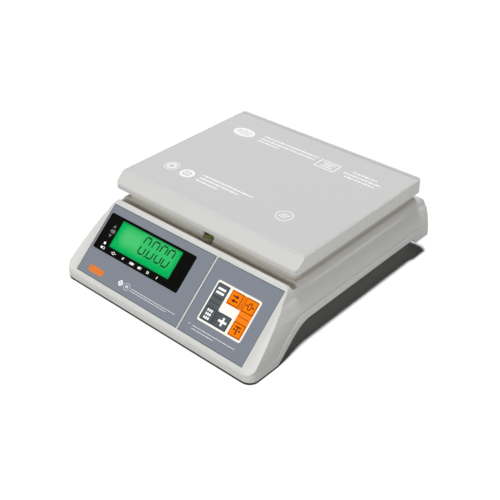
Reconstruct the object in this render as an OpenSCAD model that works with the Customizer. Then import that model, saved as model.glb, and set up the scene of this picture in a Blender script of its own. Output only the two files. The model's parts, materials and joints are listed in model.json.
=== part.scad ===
// Electronic counting scale: a low two-piece moulded case with a sloping
// display and keypad panel, and a lift-off weighing pan carried through a
// tray and spider by one single-point load cell.
// X runs across the scale, Y from its front to its back and Z upwards.
// The origin is on the table, under the middle of the case.

/* [Case] */
// Width of the case across its lower lip
case_w = 300; // [294:1:316]
// Depth of the case from its front lip to its back wall
case_d = 330; // [322:1:346]
// Gap between the case's lower lip and the table
lip_gap = 3; // [2.5:0.1:4]
// Wall thickness of the two case mouldings
wall = 2.5; // [2:0.1:3]
// Corner radius of the case in plan
corner_r = 12; // [9:0.5:15]
// Height of the lower moulding's rim along the front
rim_h = 9.5; // [8.5:0.5:11]
// How far the upper moulding stands in from the lower one
step_in = 0.4; // [0.3:0.1:1.2]
// Open joint between the two mouldings
seam_gap = 0.3; // [0.2:0.05:0.5]
// Height of the case floor's underside above the lip
floor_lift = 2.5; // [2.3:0.1:3.2]
// Radius of the edge between the deck and the back wall
back_r = 15; // [10:1:18]

/* [Hand recesses] */
// How far the hand recesses under the sides reach inwards
recess_depth = 30; // [26:1:32]
// Height of the recess arch above the lip
recess_h = 31.3; // [28:0.1:33]
// Distance from the front lip to the start of the arch
recess_front = 43; // [41:1:48]
// Length over which the arch rises
recess_rise = 55; // [48:1:60]
// Height of the lower moulding's band over the arch
band_h = 8.3; // [7.5:0.1:10]
// Distance from the back wall to the end of the arch
recess_back = 36; // [32:1:40]
// How much lower the rear corners reach than the arch
corner_drop = 7; // [4:0.5:10]

/* [Front panel] */
// Slope of the front panel
panel_angle = 41.1; // [39:0.1:43]
// Length of the panel overlays down the slope
panel_l = 89.8; // [88:0.1:92]
// Distance from the case's side to the overlays
panel_side = 17; // [16:0.5:18]
// Distance from the front lip back to the overlays' lower edge
panel_set = 5.4; // [4.6:0.1:7]
// Height of the overlays' lower edge above the lip
panel_rise = 11.8; // [11.2:0.1:13]
// Thickness of the panel overlays
overlay_t = 0.5; // [0.3:0.05:0.8]
// How far the moulded border stands above the overlays
border_up = 0.4; // [0.2:0.05:0.8]
// How far the rib lies to the right of halfway between window and keypad
divider_shift = 4; // [0:0.5:6]
// Width of the rib between the two overlays
divider_w = 2.2; // [1.6:0.1:3]
// Height of the ridge above the overlays' upper edge
ridge_up = 3.9; // [3.4:0.1:6]
// Width of the ridge's top
ridge_w = 2.6; // [2:0.1:3.4]
// Depth of the groove behind the ridge below the deck
groove_depth = 5; // [4:0.5:6]
// Width of the groove behind the ridge
groove_w = 9.5; // [7:0.5:10]
// How much lower the deck lies than the ridge
deck_drop = 0.2; // [0.1:0.1:2]

/* [Display] */
// Width of the black display window
window_w = 142.5; // [136:0.5:144]
// Height of the black display window down the slope
window_h = 46.8; // [43:0.2:47]
// Distance from the overlay's left edge to the display window
window_set = 3.4; // [3:0.1:6]
// Middle of the display window down the slope
window_s = 33.9; // [33:0.1:35]
// Corner radius of the display window
window_r = 2.6; // [1.5:0.1:4]
// Width of the liquid crystal cell's visible area
lcd_w = 101.2; // [98:0.2:104]
// Height of the liquid crystal cell's visible area
lcd_h = 34.8; // [33:0.2:36]
// How far the display sits to the right of its window's middle
lcd_shift = 0.6; // [0:0.2:2]
// Middle of the liquid crystal cell down the slope
lcd_s = 30.9; // [30.4:0.1:31.6]
// Thickness of the window bezel and of the lens behind it
pane_t = 0.8; // [0.6:0.1:1]
// Thickness of the liquid crystal cell
lcd_t = 2.8; // [2:0.1:3.2]
// Thickness of the backlight
backlight_t = 4; // [3:0.2:4.6]
// Thickness of every circuit board
board_t = 1.6; // [1:0.1:2]

/* [Keypad] */
// Width of one key
key_w = 16.4; // [15.4:0.1:16.8]
// Height of one key down the slope
key_h = 15.8; // [15:0.1:17]
// Distance from the overlay's right edge to the keypad's middle
keypad_set = 48.4; // [47:0.2:50]
// Middle of the keypad down the slope
keypad_s = 45.4; // [44:0.2:46]
// Distance from key to key across the panel
key_pitch_x = 20.8; // [20.4:0.1:21.4]
// Distance from key to key down the slope
key_pitch_s = 28; // [27:0.5:30]
// Travel of a key
key_travel = 0.6; // [0.4:0.05:0.7]
// Gap all round a key in its opening
key_gap = 0.3; // [0.2:0.05:0.4]
// How far a key stands above the overlay
key_proud = 0.3; // [0.15:0.05:0.5]

/* [Pan and tray] */
// Distance from the case's side to the pan's side
pan_side = 10; // [7:0.5:13]
// How far the pan's front edge lies behind the ridge
pan_nose = 2.5; // [0.5:0.5:3]
// Distance from the case's back wall to the pan's back edge
pan_back_set = 18.5; // [15:0.5:22]
// Height of the pan's top above the deck
pan_above = 30.3; // [29:0.1:34]
// Depth of the pan's skirt
skirt_h = 17.5; // [16:0.5:18.5]
// Wall thickness of the pan
pan_t = 1.5; // [1:0.1:2]
// Length of the sloping front edge of the pan, seen from above
bevel_l = 13; // [12:0.5:16]
// Height of the sloping front edge of the pan
bevel_h = 10.5; // [8:0.5:12]
// Corner radius of the pan in plan
pan_r = 5; // [3:0.5:8]
// Thickness of the protective film on the pan
film_t = 0.2; // [0.1:0.05:0.4]
// Gap between the pan's inner faces and the tray
tray_gap = 2.2; // [1.6:0.1:3.2]
// How much further in the tray's left side lies than its right side
tray_shy = 13; // [8:0.5:14]
// Wall thickness of the tray
tray_t = 2.5; // [2:0.1:3]
// Gap between the deck and the tray's lower edge
tray_clear = 3.3; // [3:0.1:4]
// Thickness of the rubber cushions under the pan
cushion_t = 2.5; // [2:0.1:3]
// Distance from the pan's side to the tray's posts
post_in_x = 50; // [46:1:54]
// Distance from the pan's front to the tray's posts
post_in_y = 52.75; // [50:0.25:56]
// Radius of the spider's posts
post_r = 6; // [5:0.5:7]
// Gap round each post where it passes the deck
post_gap = 4; // [3:0.5:5]

/* [Load cell] */
// Length of the load cell
cell_l = 130; // [124:1:136]
// Width of the load cell
cell_w = 30; // [26:1:34]
// Height of the load cell
cell_h = 22; // [20:0.5:22.5]
// Radius of the load cell's bending holes
cell_hole_r = 8; // [6:0.5:8.5]
// Height of the base frame's underside above the case floor
frame_lift = 5; // [4.8:0.1:5.8]
// Thickness of the steel base frame
frame_t = 3; // [2:0.1:3.5]
// How far the base frame reaches past its stops sideways
frame_side = 14.8; // [14:0.2:18]
// How far the base frame reaches past its stops front and back
frame_end = 11.64; // [11:0.02:14]
// Thickness of the spacer under the load cell
spacer_low_t = 8; // [7.5:0.1:8.5]
// Thickness of the spacer on the load cell
spacer_high_t = 10; // [9:0.2:10.4]
// Thickness of the spider's arms
spider_t = 5; // [4:0.2:6]
// Gap left below the arms by the overload stops
stop_gap = 1; // [0.9:0.1:1.4]
// Radius of the load cell's bolts
bolt_r = 3; // [2.5:0.1:3.2]

/* [Battery] */
// Length of the battery
battery_l = 101; // [94:1:103]
// Side of the battery's square section
battery_s = 47; // [44:0.5:48]
// Thickness of the foam pads at the battery's ends
pad_t = 2.5; // [2:0.1:3.5]
// Gap between the battery's sides and its box
battery_gap = 1.5; // [1:0.1:2]
// Thickness of the battery door
door_t = 1.7; // [1.4:0.1:1.8]

/* [Feet] */
// Distance from the tub's side to the feet's middles
foot_in = 18; // [17:0.5:21]
// Distance from the front lip back to the front feet
foot_front = 35; // [32:1:38]
// Distance from the back wall forward to the rear feet
foot_back = 42; // [38:1:46]
// Radius of the foot pads
foot_r = 12; // [10:0.5:13]
// Radius of the foot studs
stud_r = 4; // [3:0.25:4.5]
// Thickness of the foot pads
foot_t = 4.6; // [4:0.1:4.8]
// Length that a foot can be screwed out
foot_travel = 5; // [3:0.5:6]

/* [Back panel] */
// Depth of the recess that the sockets lie in
port_depth = 2.4; // [2.2:0.1:2.8]
// Width of the recess that the sockets lie in
port_w = 160; // [154:1:166]
// Middle of the recess that the sockets lie in
port_x = 20; // [16:1:24]
// Height of the sockets' axes above the case floor
port_up = 16; // [15.5:0.5:17]
// Middle of the power switch
switch_x = 82; // [80:1:84]
// Middle of the low voltage power socket
jack_x = 52; // [50:1:54]
// Middle of the serial socket
serial_x = 12; // [10:1:14]
// Middle of the square data socket
usb_x = -30; // [-32:1:-28]

/* [Level] */
// Middle of the bubble level across the scale
level_x = 6.5; // [5:0.5:8]
// Radius of the bubble level's cup
level_r = 7.5; // [7:0.1:8]
// Left edge of the window in the tray's skirt in front of the level
notch_x = 3.5; // [2.5:0.5:5]
// Width of the window in the tray's skirt
notch_w = 15.5; // [13:0.5:17]

/* [Fits] */
// Radial clearance of a pin or stud that turns or slides in its hole
running_gap = 0.06; // [0.03:0.01:0.1]
// Gap between a moving piece and what guides it
slide_gap = 0.3; // [0.25:0.05:0.4]
// Gap between pieces that are put together once
fit_gap = 0.1; // [0.05:0.05:0.2]

/* [Hidden] */
$fn = 48;
eps = 0.01;
far = 400;
half_w = case_w / 2;
half_d = case_d / 2;
lip_z = lip_gap;
floor_low = lip_z + floor_lift;
floor_z = floor_low + wall;
rim_z = lip_z + rim_h;
arch_z = lip_z + recess_h;
part_z = arch_z + band_h;
tub_x = half_w - recess_depth;
arch_y = -half_d + recess_front;
arch_end = half_d - recess_back;

panel_w = case_w - 2 * panel_side;
panel_y = -half_d + panel_set + panel_l * cos(panel_angle);
panel_z = lip_z + panel_rise + panel_l * sin(panel_angle);
ridge_z = panel_z + ridge_up;
deck_z = ridge_z - deck_drop;
groove_z = deck_z - groove_depth;
ridge_y = panel_y + (ridge_up - border_up / cos(panel_angle)) / tan(panel_angle);
deck_y = ridge_y + ridge_w + groove_w;
crease_z = ridge_z - 12;
crease_in = 12.1;
crease_step = 5;
shoulder_w = 7;
ledge_in = 9.2;
ledge_w = 8;
ledge_t = 2;

window_x = -panel_w / 2 + window_set + window_w / 2;
lcd_x = window_x + lcd_shift;
keypad_x = panel_w / 2 - keypad_set;
field_w = 2 * key_pitch_x + key_w + 4.8;
divider_x = (window_x + window_w / 2 + keypad_x - field_w / 2) / 2 + divider_shift;
lcd_top_z = -2 * pane_t - 0.05;
light_z = lcd_top_z - lcd_t;
board_z = light_z - backlight_t;
key_flange_t = 1.2;
key_flange = 0.9;
flange_z = -overlay_t - wall - slide_gap;
switch_h = 3.5;
switch_z = flange_z - key_flange_t - key_travel - 0.6;
key_board_z = switch_z - switch_h;
key_stem_r = 1.7;

pan_back = half_d - pan_back_set;
pan_front = ridge_y + ridge_w + pan_nose;
pan_w = case_w - 2 * pan_side;
pan_d = pan_back - pan_front;
pan_cy = (pan_back + pan_front) / 2;
pan_z = deck_z + pan_above;
skirt_z = pan_z - skirt_h;
tray_low = deck_z + tray_clear;
tray_top = pan_z - pan_t - cushion_t;
tray_w = pan_w - 2 * (pan_t + tray_gap) - tray_shy;
tray_cx = tray_shy / 2;
tray_front = pan_front + pan_t + tray_gap;
tray_back = pan_back - pan_t - tray_gap;
tray_cy = (tray_front + tray_back) / 2;
tray_r = pan_r + 4;
pan_rib_t = 2;
film_front = pan_front + bevel_l + 1.5;
film_in = 1.6;
film_back = pan_back - 6.5;

frame_low = floor_z + frame_lift;
frame_top = frame_low + frame_t;
cell_low = frame_top + spacer_low_t;
cell_top = cell_low + cell_h;
spider_low = cell_top + spacer_high_t;
spider_top = spider_low + spider_t;
post_top = tray_low + 3.5;
post_x = pan_w / 2 - post_in_x;
post_y = pan_d / 2 - post_in_y;
stop_share = 0.78;
stop_x = post_x * stop_share;
stop_y = post_y * stop_share;
frame_w = 2 * (stop_x + frame_side);
frame_d = 2 * (stop_y + frame_end);
stop_r = 5;
bolt_xs = [cell_l / 2 - 10, cell_l / 2 - 25];
bolt_head_r = bolt_r * 1.7;
bolt_head_t = 4;
arm_w = 16;
arm_t = spider_t - 1;
arm_rib_w = 3;
arm_rib_h = 6;
cushion_out = 22;
cushion_r = 9;
bolt_bite = 14;
spacer_l = 34;

box_x = battery_l / 2 + pad_t;
box_y = battery_s / 2 + battery_gap;
battery_y = panel_y + 29.5;
battery_wall = 2;
board_clear = 5;
battery_low = floor_low + 3.5;
door_x = box_x + 5;
door_y = box_y + 4.5;
box_h = 38;
rail_w = 3;

feet = [[-1, -half_d + foot_front], [1, -half_d + foot_front], [-1, half_d - foot_back], [1, half_d - foot_back]];
foot_x = tub_x - foot_in;
insert_r = stud_r + 2;
insert_h = 10;
stud_low = 1.6;
stud_top = floor_z + insert_h + 3;

casing_x = tub_x - wall - 9.5;
casing_front_y = -half_d + 15;
casing_ys = [casing_front_y, pan_cy - 12, half_d - 15];
casing_boss_r = 4.5;
screw_r = 1.75;
screw_head_r = 3.5;
screw_head_t = 2;
casing_seat = floor_low + 4;

port_z = floor_z + port_up;
port_h = 28;
port_face = half_d - port_depth;
pcb_z = floor_z + 6;

main_x = tub_x - 35;
main_y = panel_y + 14;
main_w = 50;
main_d = 76;
battery_x = main_x - main_w / 2 - board_clear - battery_wall - box_x;
rear_board_w = 120;
rear_board_d = 38;
rear_board_x = 9;
rear_board_y = port_face - wall - rear_board_d / 2 - 4;

level_y = deck_y + 2.3;
level_top = tray_low - 1.1;

rocker_y = port_face - 4.1;
rocker_tilt = 9;

cable_past_stop = 17;
cell_cable_points = concat([[cell_l / 2 + 0.3, pan_cy, cell_low + 8], [cell_l / 2 + 5, pan_cy, cell_low + 8],
    [cell_l / 2 + 11, pan_cy - 2, cell_low + 6],
    [cell_l / 2 + 21, pan_cy - 12, cell_low], [stop_x + cable_past_stop, pan_cy - stop_y + 16, cell_low - 4],
    [stop_x + cable_past_stop, pan_cy - stop_y - 8, cell_low - 1]],
    plug_in(main_x + 4, main_y + main_d / 2 - 7));
display_ribbon_points = concat([panel_point(0, 40, board_z - board_t - 0.3),
    panel_point(0, 40, board_z - board_t - 4), panel_point(0, 40, board_z - board_t - 8),
    [main_x - 65, main_y - 28, pcb_z + 16], [main_x - 35, main_y - 28, pcb_z + 15]],
    plug_in(main_x - 11, main_y - main_d / 2 + 8));
keypad_ribbon_points = concat([panel_point(100, 45, key_board_z - board_t - 0.3),
    panel_point(100, 45, key_board_z - board_t - 4), panel_point(100, 45, key_board_z - board_t - 8)],
    plug_in(main_x + 5, main_y - main_d / 2 + 8));
power_lead_points = concat([[rear_board_x + 46, rear_board_y - rear_board_d / 2 + 5, pcb_z + board_t + 1.1],
    [rear_board_x + 46, rear_board_y - rear_board_d / 2 + 5, pcb_z + 11],
    [rear_board_x + 46, rear_board_y - rear_board_d / 2 + 4, pcb_z + 16],
    [rear_board_x + 57, rear_board_y - 25, pcb_z + 12], [main_x + 1, rear_board_y - 39, pcb_z + 6],
    [main_x + 12, rear_board_y - 63, pcb_z], [main_x + 12, main_y + 98, pcb_z - 1],
    [main_x + 12, main_y + 66, pcb_z + 1], [main_x + 7, main_y + 50, pcb_z + 20],
    [main_x - 7, main_y + 36, pcb_z + 22]],
    plug_in(main_x - 11.5, main_y + main_d / 2 - 7));
tab_x = battery_x + battery_l / 2 - 13.2 + 0.2;
tab_z = battery_low + battery_s + 3;
box_end = battery_x + box_x + battery_wall;
function battery_lead(y, y2, x2) = concat([[tab_x, y, tab_z], [tab_x + 6, y, tab_z + 0.5],
    [box_end - 1, (2 * y + y2) / 3, tab_z], [box_end + 3, (y + 2 * y2) / 3, tab_z - 10]], plug_in(x2, y2));
battery_lead_a = battery_lead(battery_y + 15, main_y + 2, main_x - 16.5);
battery_lead_b = battery_lead(battery_y - 15, main_y + 2, main_x - 19.5);

shell_grey = [0.84, 0.84, 0.82];
overlay_grey = [0.50, 0.53, 0.57];
steel = [0.72, 0.73, 0.75];
dark = [0.12, 0.12, 0.13];
pcb_green = [0.10, 0.38, 0.22];
key_dark = [0.33, 0.36, 0.38];
key_orange = [1.0, 0.50, 0.05];

// Height of the sloping front at y, off millimetres above the overlays.
function slope_z(y, off) = panel_z + off / cos(panel_angle) + (y - panel_y) * tan(panel_angle);
function slope_y(z, off) = panel_y + (z - panel_z - off / cos(panel_angle)) / tan(panel_angle);

// Quarter of a sine wave from one point to another, steep first and level at its end.
function rising_curve(a, b, n = 12) =
    [for (i = [0:n]) [a[0] + (b[0] - a[0]) * i / n, a[1] + (b[1] - a[1]) * sin(90 * i / n)]];

// Points along an arc, by its middle, radius and end angles.
function arc(c, r, a0, a1, n = 6) =
    [for (i = [0:n]) [c[0] + r * cos(a0 + (a1 - a0) * i / n), c[1] + r * sin(a0 + (a1 - a0) * i / n)]];

module rounded_rect(w, d, r) {
    square([w - 2 * r, d], center = true);
    square([w, d - 2 * r], center = true);
    for (x = [-1, 1], y = [-1, 1])
        translate([x * (w / 2 - r), y * (d / 2 - r)]) circle(r);
}

module rounded_plate(w, d, r, t) {
    linear_extrude(t) rounded_rect(w, d, r);
}

// Stands a profile drawn in Y and Z upright and extrudes it along X.
module along_x(x0, x1) {
    translate([x0, 0, 0]) rotate([90, 0, 90]) linear_extrude(x1 - x0) children();
}

// Stands a profile drawn in X and Z upright and extrudes it along Y.
module along_y(y0, y1) {
    translate([0, y1, 0]) rotate([90, 0, 0]) linear_extrude(y1 - y0) children();
}

// Places what follows on the front panel: X across it, -Y down its slope,
// Z out of it, from the middle of the overlays' upper edge.
module on_panel() {
    translate([0, panel_y, panel_z]) rotate([panel_angle, 0, 0]) children();
}

module panel_box(x, s, w, h, z0, z1) {
    translate([x - w / 2, -s - h / 2, z0]) cube([w, h, z1 - z0]);
}

// Hand recess under one side, grown by g all round, cut from the tub wall outwards.
module recess_profile(g) {
    a = arch_y - g * 1.4;
    polygon(concat([[a, -far / 8]], rising_curve([a, lip_z + g / 4], [arch_y + recess_rise - g, arch_z + g]),
        [[arch_end + g, arch_z + g], [arch_end + 5 + g, arch_z - corner_drop + g],
         [half_d + 20, arch_z - corner_drop + g], [half_d + 20, -far / 8]]));
}

module recesses(g) {
    for (s = [-1, 1])
        along_x(s > 0 ? tub_x - g : -half_w - 20, s > 0 ? half_w + 20 : -tub_x + g) recess_profile(g);
}

// Everything below the joint between the two mouldings.
module below_joint() {
    rise = [[arch_y - 3, rim_z], [arch_y + recess_rise - 1, part_z]];
    along_x(-half_w - 30, half_w + 30)
        polygon(concat([[-half_d - 30, -30], [-half_d - 30, rim_z]], rising_curve(rise[0], rise[1]),
            [[half_d + 30, part_z], [half_d + 30, -30]]));
}

module case_prism(g, z0, z1) {
    translate([0, 0, z0]) linear_extrude(z1 - z0)
        rounded_rect(case_w - 2 * g, case_d - 2 * g, corner_r - g);
}

// Outline of the lower moulding from the front, g inside its skin.
module base_outline(g) {
    h = concat([[half_w - g, -5]], flank(g - step_in));
    n = len(h);
    polygon(concat(h, [for (i = [0:n - 1]) [-h[n - 1 - i][0], h[n - 1 - i][1]]]));
}

module base_prism(g, z0, z1) {
    intersection() {
        case_prism(g, z0, z1);
        along_y(-half_d - 1, half_d + 1) base_outline(g);
    }
}

// Room inside the lower moulding between two heights, clear of the recess walls.
module base_room(z0, z1) {
    difference() {
        base_prism(wall, z0, z1);
        recesses(wall);
    }
}

module at_feet() {
    for (f = feet) translate([f[0] * foot_x, f[1], 0]) children();
}

module at_casing_screws() {
    for (s = [-1, 1], y = casing_ys) translate([s * casing_x, y, 0]) children();
}

// Height where the bosses of the two mouldings meet.
function boss_split(y) = y < arch_y ? floor_z + 7 : part_z + seam_gap;

module frame_corners() {
    for (x = [-1, 1], y = [-1, 1])
        translate([x * (frame_w / 2 - 8), pan_cy + y * (frame_d / 2 - 7), 0]) children();
}

module board_corners(x, y, w, d) {
    for (i = [-1, 1], j = [-1, 1])
        translate([x + i * (w / 2 - 4), y + j * (d / 2 - 4), 0]) children();
}

module boss(r, hole, z0, z1) {
    difference() {
        translate([0, 0, z0]) cylinder(h = z1 - z0, r = r);
        translate([0, 0, z0 - 1]) cylinder(h = z1 - z0 + 2, r = hole);
    }
}

module base_shell() {
    color(shell_grey) {
        difference() {
            union() {
                difference() {
                    intersection() {
                        base_prism(0, lip_z, part_z + 1);
                        below_joint();
                    }
                    recesses(0);
                    base_room(floor_z, far);
                    base_room(-1, floor_low);
                }
                // ledge that closes the joint round the rim
                difference() {
                    intersection() {
                        base_prism(0, lip_z, part_z + 1);
                        below_joint();
                    }
                    case_prism(ledge_w, 0, far);
                    translate([0, 0, -ledge_t]) below_joint();
                }
                // battery box
                translate([battery_x, battery_y, floor_low]) translate([-box_x - battery_wall, -box_y - battery_wall, 0])
                    cube([2 * (box_x + battery_wall), 2 * (box_y + battery_wall), box_h]);
                // rails of the battery door
                for (s = [-1, 1]) translate([battery_x + s * (door_x + slide_gap + rail_w / 2), battery_y, 0]) {
                    translate([-rail_w / 2, -door_y, 2.2]) cube([rail_w, 2 * door_y, floor_low - 2.2]);
                    translate([-rail_w / 2 - (s > 0 ? 2.5 : 0), -door_y, 2.2]) cube([rail_w + 2.5, 2 * door_y, 0.9]);
                }
                // inner wall of the socket recess
                translate([port_x - port_w / 2 - wall, half_d - port_depth - wall, floor_low])
                    cube([port_w + 2 * wall, port_depth + 1, port_z + port_h / 2 + wall - floor_low]);
                at_feet() translate([0, 0, floor_low]) cylinder(h = floor_z + insert_h - floor_low, r = insert_r + 3);
                at_casing_screws() translate([0, 0, floor_low]) cylinder(h = 5, r = casing_boss_r + 2);
                for (s = [-1, 1], y = casing_ys)
                    translate([s * casing_x, y, floor_low]) cylinder(h = boss_split(y) - floor_low, r = casing_boss_r);
            }
            translate([battery_x - box_x, battery_y - box_y, -1]) cube([2 * box_x, 2 * box_y, 100]);
            translate([port_x - port_w / 2, port_face, port_z - port_h / 2]) cube([port_w, port_depth + 5, port_h]);
            at_feet() translate([0, 0, -1]) cylinder(h = 60, r = insert_r);
            at_casing_screws() {
                translate([0, 0, -1]) cylinder(h = casing_seat + 1, r = screw_head_r + 0.4);
                translate([0, 0, -1]) cylinder(h = 100, r = screw_r + 0.3);
            }
            sockets_cut();
        }
        frame_corners() boss(5, screw_r, floor_z - eps, frame_low);
        board_corners(main_x, main_y, main_w, main_d) boss(3.5, screw_r, floor_z - eps, pcb_z);
        board_corners(rear_board_x, rear_board_y, rear_board_w, rear_board_d) boss(3.5, screw_r, floor_z - eps, pcb_z);
    }
}

// Holes in the back wall for the switch and the sockets.
module sockets_cut() {
    y0 = half_d - 20;
    translate([switch_x - 9.6, y0, port_z - 6.8]) cube([19.2, 30, 13.6]);
    translate([jack_x, y0, port_z]) rotate([-90, 0, 0]) cylinder(h = 30, r = 4.6);
    translate([serial_x - 9.8, y0, port_z - 5.6]) cube([19.6, 30, 11.2]);
    translate([usb_x - 6.3, y0, port_z - 5.7]) cube([12.6, 30, 11.4]);
}

// Outline of the upper moulding from the side, g inside its skin.
module side_outline(g) {
    off = g == 0 ? border_up : -overlay_t - g;
    y0 = -half_d + step_in + g;
    yb = half_d - step_in - 1.5 - g;
    top = deck_z - g;
    front = g == 0 ? [
        [ridge_y - 0.7, slope_z(ridge_y - 0.7, off)], [ridge_y + 0.5, ridge_z],
        [ridge_y + ridge_w - 0.5, ridge_z], [ridge_y + ridge_w, ridge_z - 0.5],
        [ridge_y + ridge_w + 0.4, groove_z], [deck_y - 0.6, groove_z], [deck_y - 0.2, deck_z - 0.8],
        [deck_y + 0.6, deck_z]]
        : [[slope_y(groove_z - g, off), groove_z - g], [deck_y + g, groove_z - g], [deck_y + g, top]];
    polygon(concat([[y0, -5], [y0, slope_z(y0, off)]], front,
        arc([yb - back_r + g, top - back_r + g], back_r - g, 90, 0),
        [[yb + 0.8, part_z - 10], [yb + 0.8, -5]]));
}

// Half of the upper moulding's outline from the front, g inside its skin.
function flank(g) = [for (i = [0:7]) let (t = i / 7)
    [half_w - step_in - g - (ledge_in - step_in) * pow(t, 1.6), rim_z + (crease_z - crease_step - rim_z) * t]];
function shoulder(g) = [for (i = [0:6]) let (a = 90 * i / 6)
    [half_w - g - crease_in - shoulder_w * (1 - cos(a)), crease_z - g + (ridge_z - crease_z) * sin(a)]];
function half_outline(g) = concat([[half_w - step_in - g, -5]], flank(g),
    [[half_w - ledge_in - 0.7 - g, crease_z - crease_step + 1.4]], shoulder(g));

module front_outline(g) {
    h = half_outline(g);
    n = len(h);
    polygon(concat(h, [for (i = [0:n - 1]) [-h[n - 1 - i][0], h[n - 1 - i][1]]]));
}

module top_solid(g) {
    intersection() {
        case_prism(step_in + g, 0, ridge_z + 1);
        along_x(-half_w, half_w) side_outline(g);
        along_y(-half_d, half_d) front_outline(g);
    }
}

module level_pocket() {
    translate([level_x, level_y, groove_z]) cylinder(h = 20, r = level_r + 0.2);
}

module display_bosses() {
    for (i = [-1, 1], j = [-1, 1])
        translate([lcd_x + i * 60, -lcd_s + j * 24.5, board_z]) cylinder(h = -board_z - overlay_t - 1, r = 2.6);
}

module keypad_bosses() {
    for (i = [-1, 1], j = [-1, 1])
        translate([keypad_x + i * 34, -keypad_s + j * 25.5, key_board_z])
            cylinder(h = -key_board_z - overlay_t - 1, r = 2.6);
}

module top_shell() {
    color(shell_grey) difference() {
        union() {
            difference() {
                top_solid(0);
                top_solid(wall);
            }
            intersection() {
                union() {
                    for (s = [-1, 1], y = casing_ys)
                        translate([s * casing_x, y, boss_split(y)]) cylinder(h = 60, r = casing_boss_r);
                    translate([level_x, level_y, groove_z - wall]) cylinder(h = wall + 2, r = level_r + 2.5);
                    on_panel() display_bosses();
                    on_panel() keypad_bosses();
                }
                top_solid(0);
            }
        }
        translate([0, 0, seam_gap]) below_joint();
        level_pocket();
        for (s = [-1, 1], y = casing_ys)
            translate([s * casing_x, y, 0]) cylinder(h = boss_split(y) + (y < arch_y ? 4 : 14), r = screw_r);
        for (x = [-1, 1], y = [-1, 1])
            translate([x * post_x, pan_cy + y * post_y, deck_z - 20]) cylinder(h = 40, r = post_r + post_gap);
        on_panel() {
            translate([0, 0, -overlay_t]) linear_extrude(20) overlay_fields(fit_gap);
            translate([window_x, -window_s, -2 * pane_t])
                rounded_plate(window_w + 2 * fit_gap, window_h + 2 * fit_gap, window_r, 20);
            panel_box(lcd_x, lcd_s, lcd_w + 2.6, lcd_h + 2.6, -20, 0);
            at_keys() translate([-key_w / 2 - key_gap, -key_h / 2 - key_gap, -wall * 3])
                cube([key_w + 2 * key_gap, key_h + 2 * key_gap, wall * 3 + 5]);
        }
    }
}

// Plan of the two overlays, g bigger all round.
module overlay_fields(g) {
    left = -panel_w / 2;
    mid = divider_x - divider_w / 2;
    mid2 = divider_x + divider_w / 2;
    translate([left - g, -panel_l - g]) square([mid - left + 2 * g, panel_l + 2 * g]);
    translate([mid2 - g, -panel_l - g]) square([panel_w / 2 - mid2 + 2 * g, panel_l + 2 * g]);
}

module at_key(i, j) {
    translate([keypad_x + i * key_pitch_x, -keypad_s - j * key_pitch_s / 2, 0]) children();
}

module at_keys() {
    for (i = [-1:1], j = [-1, 1]) at_key(i, j) children();
}

module display_overlay() {
    color(overlay_grey) on_panel() translate([0, 0, -overlay_t]) linear_extrude(overlay_t) difference() {
        intersection() {
            overlay_fields(0);
            translate([-panel_w, -panel_l - 1]) square([panel_w + divider_x, panel_l + 2]);
        }
        translate([window_x, -window_s]) rounded_rect(window_w + 2 * fit_gap, window_h + 2 * fit_gap, window_r);
    }
}

module keypad_overlay() {
    color(overlay_grey) on_panel() translate([0, 0, -overlay_t]) linear_extrude(overlay_t) difference() {
        intersection() {
            overlay_fields(0);
            translate([divider_x, -panel_l - 1]) square([panel_w, panel_l + 2]);
        }
        at_keys() square([key_w + 2 * key_gap, key_h + 2 * key_gap], center = true);
    }
}

module window_bezel() {
    color(dark) on_panel() difference() {
        translate([window_x, -window_s, -pane_t]) rounded_plate(window_w, window_h, window_r, pane_t);
        panel_box(lcd_x, lcd_s, lcd_w, lcd_h, -pane_t - 1, 1);
    }
}

module window_lens() {
    color([0.8, 0.9, 0.85, 0.3]) on_panel()
        translate([window_x, -window_s, -2 * pane_t]) rounded_plate(window_w, window_h, window_r, pane_t);
}

module lcd_glass() {
    color([0.0, 0.75, 0.35]) on_panel()
        panel_box(lcd_x, lcd_s, lcd_w + 2, lcd_h + 2, light_z, lcd_top_z);
}

module lcd_backlight() {
    color([0.75, 0.95, 0.8]) on_panel()
        panel_box(lcd_x, lcd_s, lcd_w + 2, lcd_h + 2, board_z, light_z);
}

// Frame round the cell and its backlight, from the moulding down to the board.
module lcd_frame() {
    color(dark) on_panel() difference() {
        panel_box(lcd_x, lcd_s, lcd_w + 9, lcd_h + 8, board_z, -overlay_t - wall);
        panel_box(lcd_x, lcd_s, lcd_w + 2, lcd_h + 2, board_z - 1, 1);
    }
}

module display_board() {
    color(pcb_green) on_panel() panel_box(lcd_x, lcd_s, 126, 55, board_z - board_t, board_z);
}

module key_board() {
    color(pcb_green) on_panel() panel_box(keypad_x, keypad_s, 74, 57, key_board_z - board_t, key_board_z);
}

// Six push switches, each with a bore that takes its key's stem.
module key_switches() {
    color(dark) on_panel() at_keys() difference() {
        translate([-3, -3, key_board_z]) cube([6, 6, switch_h]);
        translate([0, 0, key_board_z + 0.8]) cylinder(h = switch_h, r = key_stem_r + running_gap);
    }
}

// One key: its face, a flange that keeps it behind the panel, and its stem.
module key(i, j) {
    on_panel() at_key(i, j) {
        translate([0, 0, flange_z - eps]) rounded_plate(key_w, key_h, 0.8, key_proud - flange_z + eps);
        translate([-key_w / 2 - key_flange, -key_h / 2 - key_flange, flange_z - key_flange_t])
            cube([key_w + 2 * key_flange, key_h + 2 * key_flange, key_flange_t]);
        translate([0, 0, key_board_z + 0.8 + key_travel + 0.3])
            cylinder(h = flange_z - key_board_z - 1.1 - key_travel, r = key_stem_r);
    }
}

module key_total() { color(key_dark) key(-1, -1); }
module key_units() { color(key_orange) key(0, -1); }
module key_zero() { color(key_orange) key(1, -1); }
module key_sample() { color(key_dark) key(-1, 1); }
module key_sum() { color(key_dark) key(0, 1); }
module key_tare() { color(key_orange) key(1, 1); }

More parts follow.
